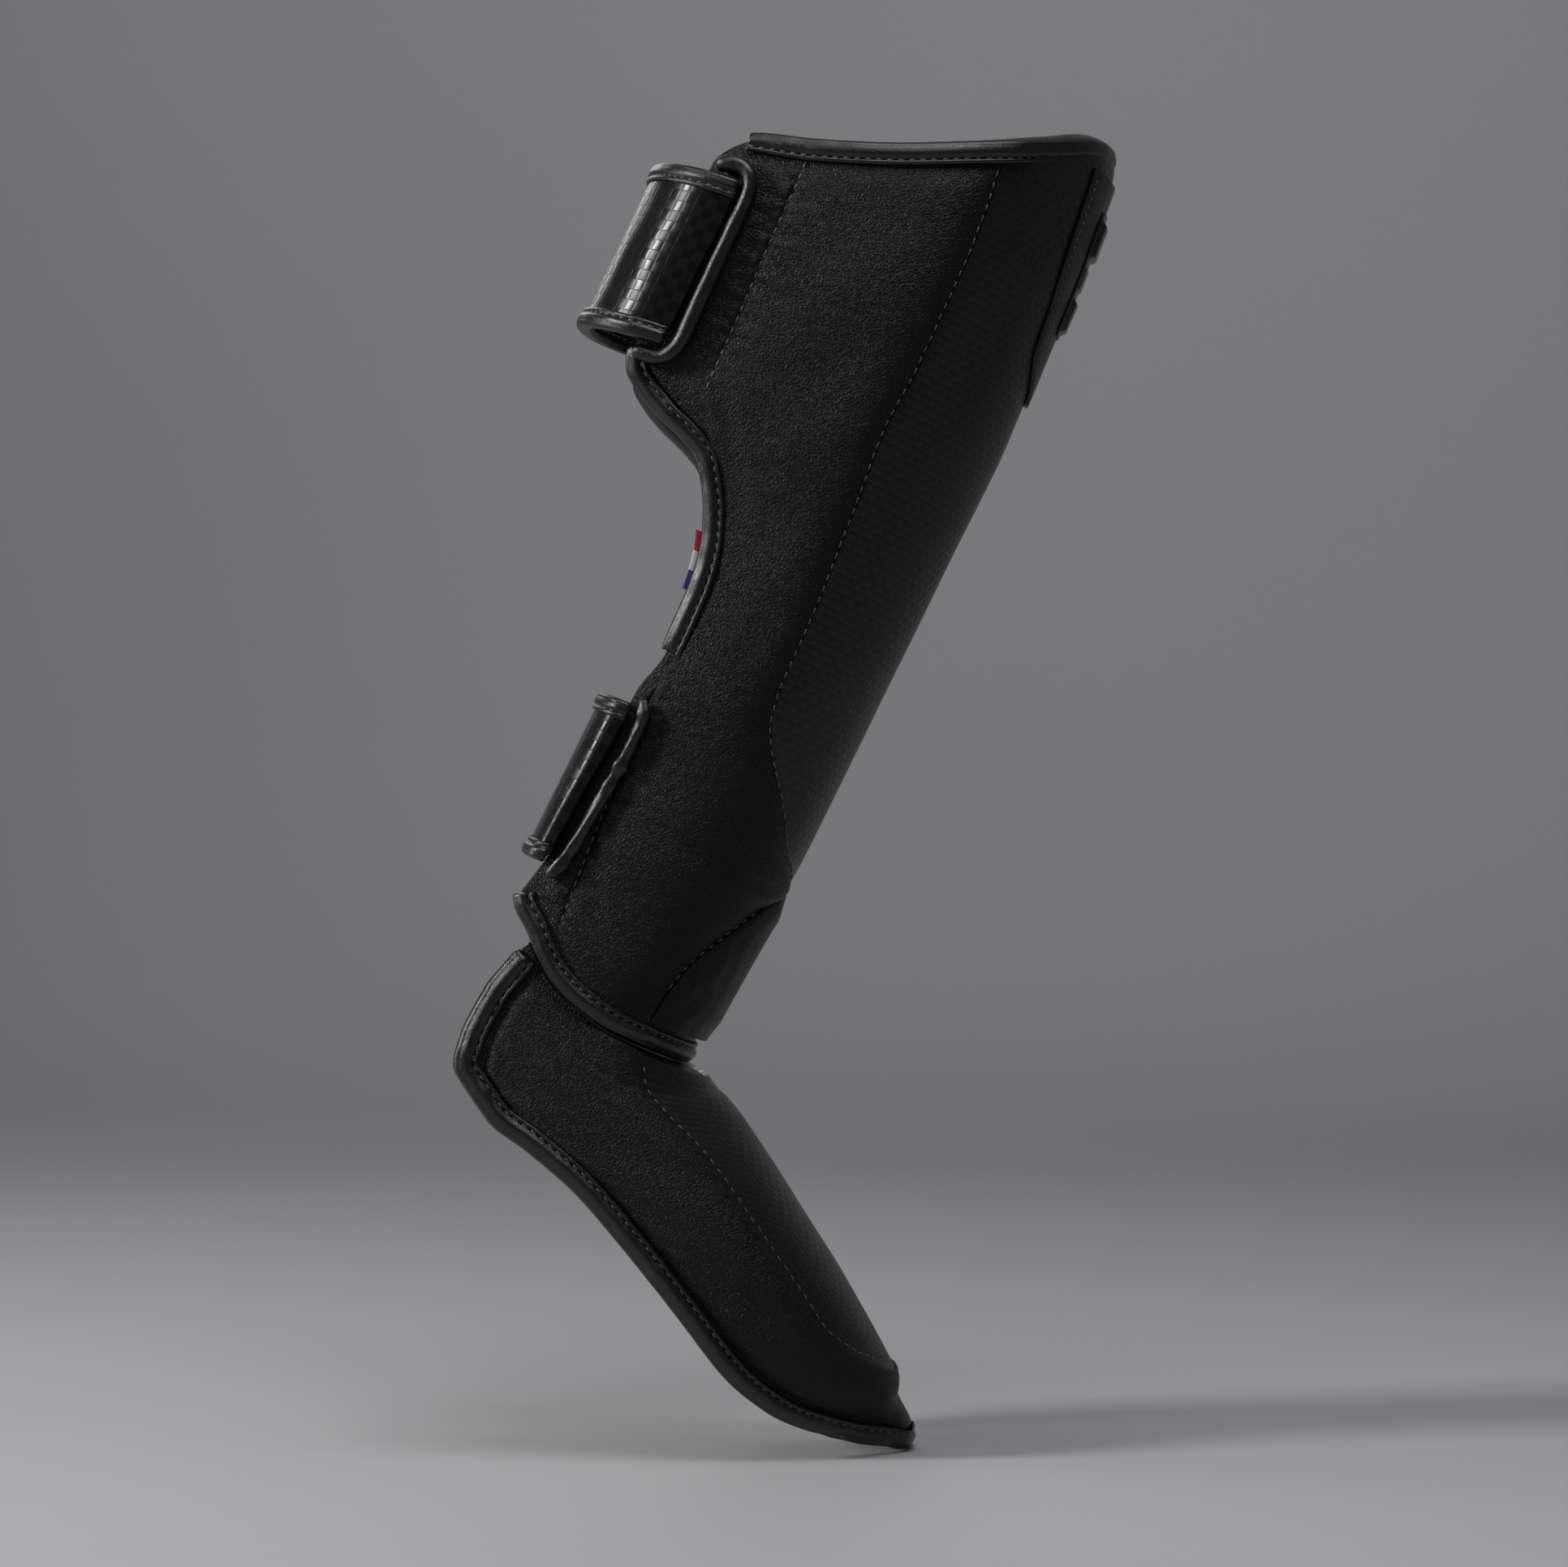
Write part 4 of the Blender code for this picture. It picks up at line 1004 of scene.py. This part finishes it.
footT = footStations(footPad["rows"])
tGrid = np.broadcast_to(footT[:, None], (len(footT), len(footColumnList)))
footA = np.sign(footColumnList)[None] * footShare(np.broadcast_to(np.abs(footColumnList), tGrid.shape), tGrid)
baseFoot = footBase(tGrid, footA)
arcFoot = runLength(np.swapaxes(baseFoot, 0, 1)).T
arcFoot = arcFoot - arcFoot[:, len(footColumnList) // 2][:, None]
tallFoot = runLength(baseFoot)
seamFoot = distanceFrom(arcFoot, footColumnList, 3)
x = np.maximum(seamFoot, 0)
fade = ramp(tGrid, .2, 1) * (1 - ramp(tGrid, 10.5, 12.5))
edgeFoot = -distanceFrom(arcFoot, footColumnList, 8)
swell = (footPad["lip"] + footPad["crest"] * x / footPad["crestAt"] * np.exp(1 - x / footPad["crestAt"])
         + footPad["body"] * (1 - np.exp(-x / footPad["bodyAt"]))) * ramp(edgeFoot, .0082, .0200)
ridge = np.exp(-((edgeFoot - footPad["ridgeAt"]) / footPad["ridgeWide"]) ** 2)
sunk = np.exp(-((edgeFoot - footPad["sunkAt"]) / footPad["sunkWide"]) ** 2)
swell = swell + footPad["ridge"] * ridge - footPad["sunk"] * sunk
swell = swell + footPad["scallop"] * np.cos(tallFoot * 2 * math.pi / footPad["pitch"]) * np.exp(-x / .0022)
pucker = waves(tallFoot, .15 * x, 91, .0085) * np.exp(-x / footPad["puckerReach"]) * ramp(x, 0, .0015)
pucker = pucker + waves(tallFoot, .3 * x, 93, .009) * np.exp(-edgeFoot / .010) * ramp(edgeFoot, .004, .008)
dents = waves(arcFoot, tallFoot, 95, .034) * footPad["dents"] * ramp(x, .004, .015)
dents = dents * ramp(edgeFoot, .004, .02)
# Folds on the outer side, by station share and column share
footFolds = ((.12, .72, .17, .62, .010, .0006), (.17, .62, .19, .50, .010, .0006),
             (.80, .86, .83, .70, .010, .0008), (.83, .70, .86, .52, .010, .0008))
creased = foldDepth(tGrid / 14, np.abs(footColumnList)[None] / 8 + 0 * tGrid, footFolds, 1, 1)
creased = creased * (footColumnList < 0)[None]
liftFoot = np.where(seamFoot > 1e-6, (swell + footPad["pucker"] * pucker + dents + creased) * fade, 0)
liftFoot = liftFoot - panelRecess * (seamFoot <= 1e-6) * (1 - ramp(tGrid, 11, 12))
outerFoot = footPoint(tGrid, footA, liftFoot)
innerFoot = footPoint(tGrid, footA, -footWall(tGrid, footA))
corner = (ramp(tGrid, 13.1, 14) * ramp(np.abs(footColumnList)[None], 6.2, 8))[..., None]
heart = innerFoot[-14, len(footColumnList) // 2]
outerFoot, innerFoot = (face + (heart - face) * corner * footPad["cornerIn"]
                        for face in (outerFoot, innerFoot))
footPiece = sewn("footPad", outerFoot, innerFoot, [blackLeather, liningCloth],
                 np.stack([arcFoot, tallFoot], -1), slot="leather", stands=("foot_shell",), sharp=55)

footPanel = {"rows": 170, "columns": 70, "top": .0001, "edge": .994, "sink": .0011, "shoulder": .0070}
panelStations = footT[(footT >= 1) & (footT <= 11)]
panelT = np.interp(np.linspace(0, 1, footPanel["rows"]), np.linspace(0, 1, len(panelStations)), panelStations)
panelC = np.sin(np.linspace(-math.pi / 2, math.pi / 2, footPanel["columns"])) * 3 * footPanel["edge"]
tPanel = np.broadcast_to(panelT[:, None], (len(panelT), len(panelC)))
aPanel = np.sign(panelC)[None] * footShare(np.broadcast_to(np.abs(panelC), tPanel.shape), tPanel)
arcPanel = runLength(np.swapaxes(footBase(tPanel, aPanel), 0, 1)).T
arcPanel = arcPanel - arcPanel[:, -1:] / 2
tallPanel = runLength(footBase(tPanel, aPanel))
farPanel = arcPanel[:, -1:] - np.abs(arcPanel)
liftPanel = -footPanel["top"] - footPanel["sink"] * np.exp(-(farPanel / footPanel["shoulder"]) ** 1.4)
sewn("footPanel", footPoint(tPanel, aPanel, liftPanel), footPoint(tPanel, aPanel, -panelLow + 0 * tPanel),
     [embossedLeather], np.stack([arcPanel, tallPanel], -1), slot="embossed_leather",
     stands=("foot_front_panel",))
seamRow("footSeamStitches", outerFoot, footColumnList, 3.2, ((.07, .80),))

footFold = {"reach": .0076, "thick": .0015, "gap": .0010, "round": 1.15, "puff": .0009, "groove": .30,
            "bead": .0008, "stitchAt": .76, "pitch": .0042, "crinkle": .00018, "seed": 97,
            "thread": bindingThread, "ease": 9,
            "thin": 1 - .25 * np.exp(-(np.linspace(-1, 1, 520) / .09) ** 2)}


def footRim():
    down = footT[footT > .2]
    one = np.ones_like(down)
    toe = np.linspace(-8, 8, 60)[1:-1]
    t = np.concatenate((down, 14 + 0 * toe, down[::-1]))
    c = np.concatenate((-8 * one, toe, 8 * one))
    back = np.concatenate((down, 13.6 + 0 * toe, down[::-1]))
    backC = np.concatenate((-7 * one, toe * 7 / 8, 7 * one))

    def pair(t, c):
        a = np.sign(c) * footShare(np.abs(c), t)
        return footPoint(t, a, 0 * t), footPoint(t, a, -footWall(t, a))

    po, pi = pair(t, c)
    near = np.concatenate((ramp(down, 13, 14), one[:1].repeat(len(toe)), ramp(down[::-1], 13, 14)))[:, None]
    qo, qi = pair(t, backC)
    ro, ri = pair(back, backC)
    qo, qi = qo + (ro - qo) * near, qi + (ri - qi) * near
    lines = resample(np.concatenate((po, pi, qo, qi), 1), 520)
    soft = eased(eased(lines, 9), 5)
    atToe = np.exp(-(np.linspace(-1, 1, 520) / .11) ** 4)[:, None]
    return np.split(lines + (soft - lines) * atToe, 4, axis=1)


binding("footBinding", footRim(), footFold, slot="leather", stands=("foot_binding",))
print("foot pad is sewn")

# Elastic band under the sole
sole = {"first": 5.45, "last": 8.4, "thick": .0016, "ribs": .0024, "ribHigh": .00018, "inset": .012,
        "drop": .0165, "share": .94, "clear": .0036, "power": 3.6}


def soleFace(off):
    t = np.linspace(sole["first"], sole["last"], 90)
    start, way, length, half = footStation(t)
    across = np.tile(np.linspace(-1, 1, 120), (len(t), 1))
    side = half * sole["share"] - footEdgeWall - sole["clear"] + off
    d, y = bent(across, (length - sole["inset"])[:, None], sole["drop"] + off, side[:, None], sole["power"])
    return footWorld(start[:, None] + way[:, None] * d[..., None], y)


def soleRibs(place):                    # the band's cords stand a little proud on the outside
    reach = runLength(place[:, 60])
    return reach, unit(np.cross(np.gradient(place, axis=0), np.gradient(place, axis=1)))


soleOut, soleIn = soleFace(sole["thick"] / 2), soleFace(-sole["thick"] / 2)
soleRun, soleUp = soleRibs(soleOut)
soleUp = soleUp * np.sign(dot(soleUp, soleOut - soleIn))
soleOut = soleOut + soleUp * (sole["ribHigh"] * np.sin(soleRun * 2 * math.pi / sole["ribs"]))[:, None, None]
soleArc = runLength(np.swapaxes(soleOut, 0, 1)).T
sewn("soleStrap", soleOut, soleIn, [elasticCloth],
     np.stack([soleArc, np.broadcast_to(soleRun[:, None], soleArc.shape)], -1), slot="elastic",
     stands=("sole_strap",))

# A wide pale floor that turns up into a wall all round, light and camera
floorForm = {"level": float(cadLow.z) - .0008, "reach": 4.2, "turn": 1.6, "wall": 3.0, "rough": .6,
             "colour": (.40, .40, .412, 1)}
bm = bmesh.new()
level, reach, bend = floorForm["level"], floorForm["reach"], floorForm["turn"]
profile = [(0, level), (reach - bend, level)]
for k in range(1, 13):
    angle = k * math.pi / 24
    profile.append((reach - bend + bend * math.sin(angle), level + bend - bend * math.cos(angle)))
profile.append((reach, level + floorForm["wall"]))
spots = [bm.verts.new((r, 0, z)) for r, z in profile]
edges = [bm.edges.new(pair) for pair in zip(spots, spots[1:])]
bmesh.ops.spin(bm, geom=spots + edges, cent=(0, 0, 0), axis=(0, 0, 1), angle=2 * math.pi, steps=96,
               use_merge=True)
bmesh.ops.remove_doubles(bm, verts=bm.verts[:], dist=.0001)
bmesh.ops.recalc_face_normals(bm, faces=bm.faces[:])
floorMesh = bpy.data.meshes.new("floor")
bm.to_mesh(floorMesh)
bm.free()
floorMesh.shade_smooth()
floor = bpy.data.objects.new("floor", floorMesh)
bpy.context.scene.collection.objects.link(floor)
floorMaterial = bpy.data.materials.new("paleFloor")
floorMaterial.use_nodes = True
floorShader = floorMaterial.node_tree.nodes["Principled BSDF"]
floorShader.inputs["Base Color"].default_value = floorForm["colour"]
floorShader.inputs["Roughness"].default_value = floorForm["rough"]
floorMesh.materials.append(floorMaterial)
floor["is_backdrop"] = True

world = bpy.data.worlds.new("studio")
bpy.context.scene.world = world
world.use_nodes = True
world.node_tree.nodes["Background"].inputs[0].default_value = (.40, .41, .43, 1)
world.node_tree.nodes["Background"].inputs[1].default_value = .42

# Each light: place, aim, size, power, colour
lights = {"key": ((-2.60, -.85, 1.35), (-.03, 0, -.02), .6, 19, (1, .99, .97)),
          "left": ((-1.75, .25, .15), (-.05, 0, -.05), .6, 7, (.97, .98, 1)),
          "top": ((.10, -.45, .95), (0, -.35, -.3), .6, 6.5, (1, 1, 1)),
          "fill": ((-.80, 2.3, 1.1), (0, 0, -.05), .9, 1.3, (1, 1, 1)),
          "back": ((0, 2.1, 1.7), (0, 4.2, 1.1), 1.0, 15, (1, 1, 1))}
for name, (place, aim, size, power, colour) in lights.items():
    lamp = bpy.data.lights.new(name, "AREA")
    lamp.size, lamp.energy, lamp.color = size, power, colour
    lamp.spread = math.radians(96 if name in ("key", "fill") else 180)     # keeps the nearby floor even
    holder = bpy.data.objects.new(name, lamp)
    holder.location = place
    holder.rotation_euler = (Vector(aim) - Vector(place)).to_track_quat("-Z", "Y").to_euler()
    bpy.context.scene.collection.objects.link(holder)

cameraData = bpy.data.cameras.new("camera")
cameraData.lens, cameraData.sensor_width = 120, 36
camera = bpy.data.objects.new("camera", cameraData)
camera.location = (-.0372, -2.061, -.0746)
camera.rotation_euler = (math.pi / 2, 0, 0)
bpy.context.scene.collection.objects.link(camera)
bpy.context.scene.camera = camera
bpy.context.scene.view_settings.view_transform = "Standard"
print("floor, light and camera are set")

low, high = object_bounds()
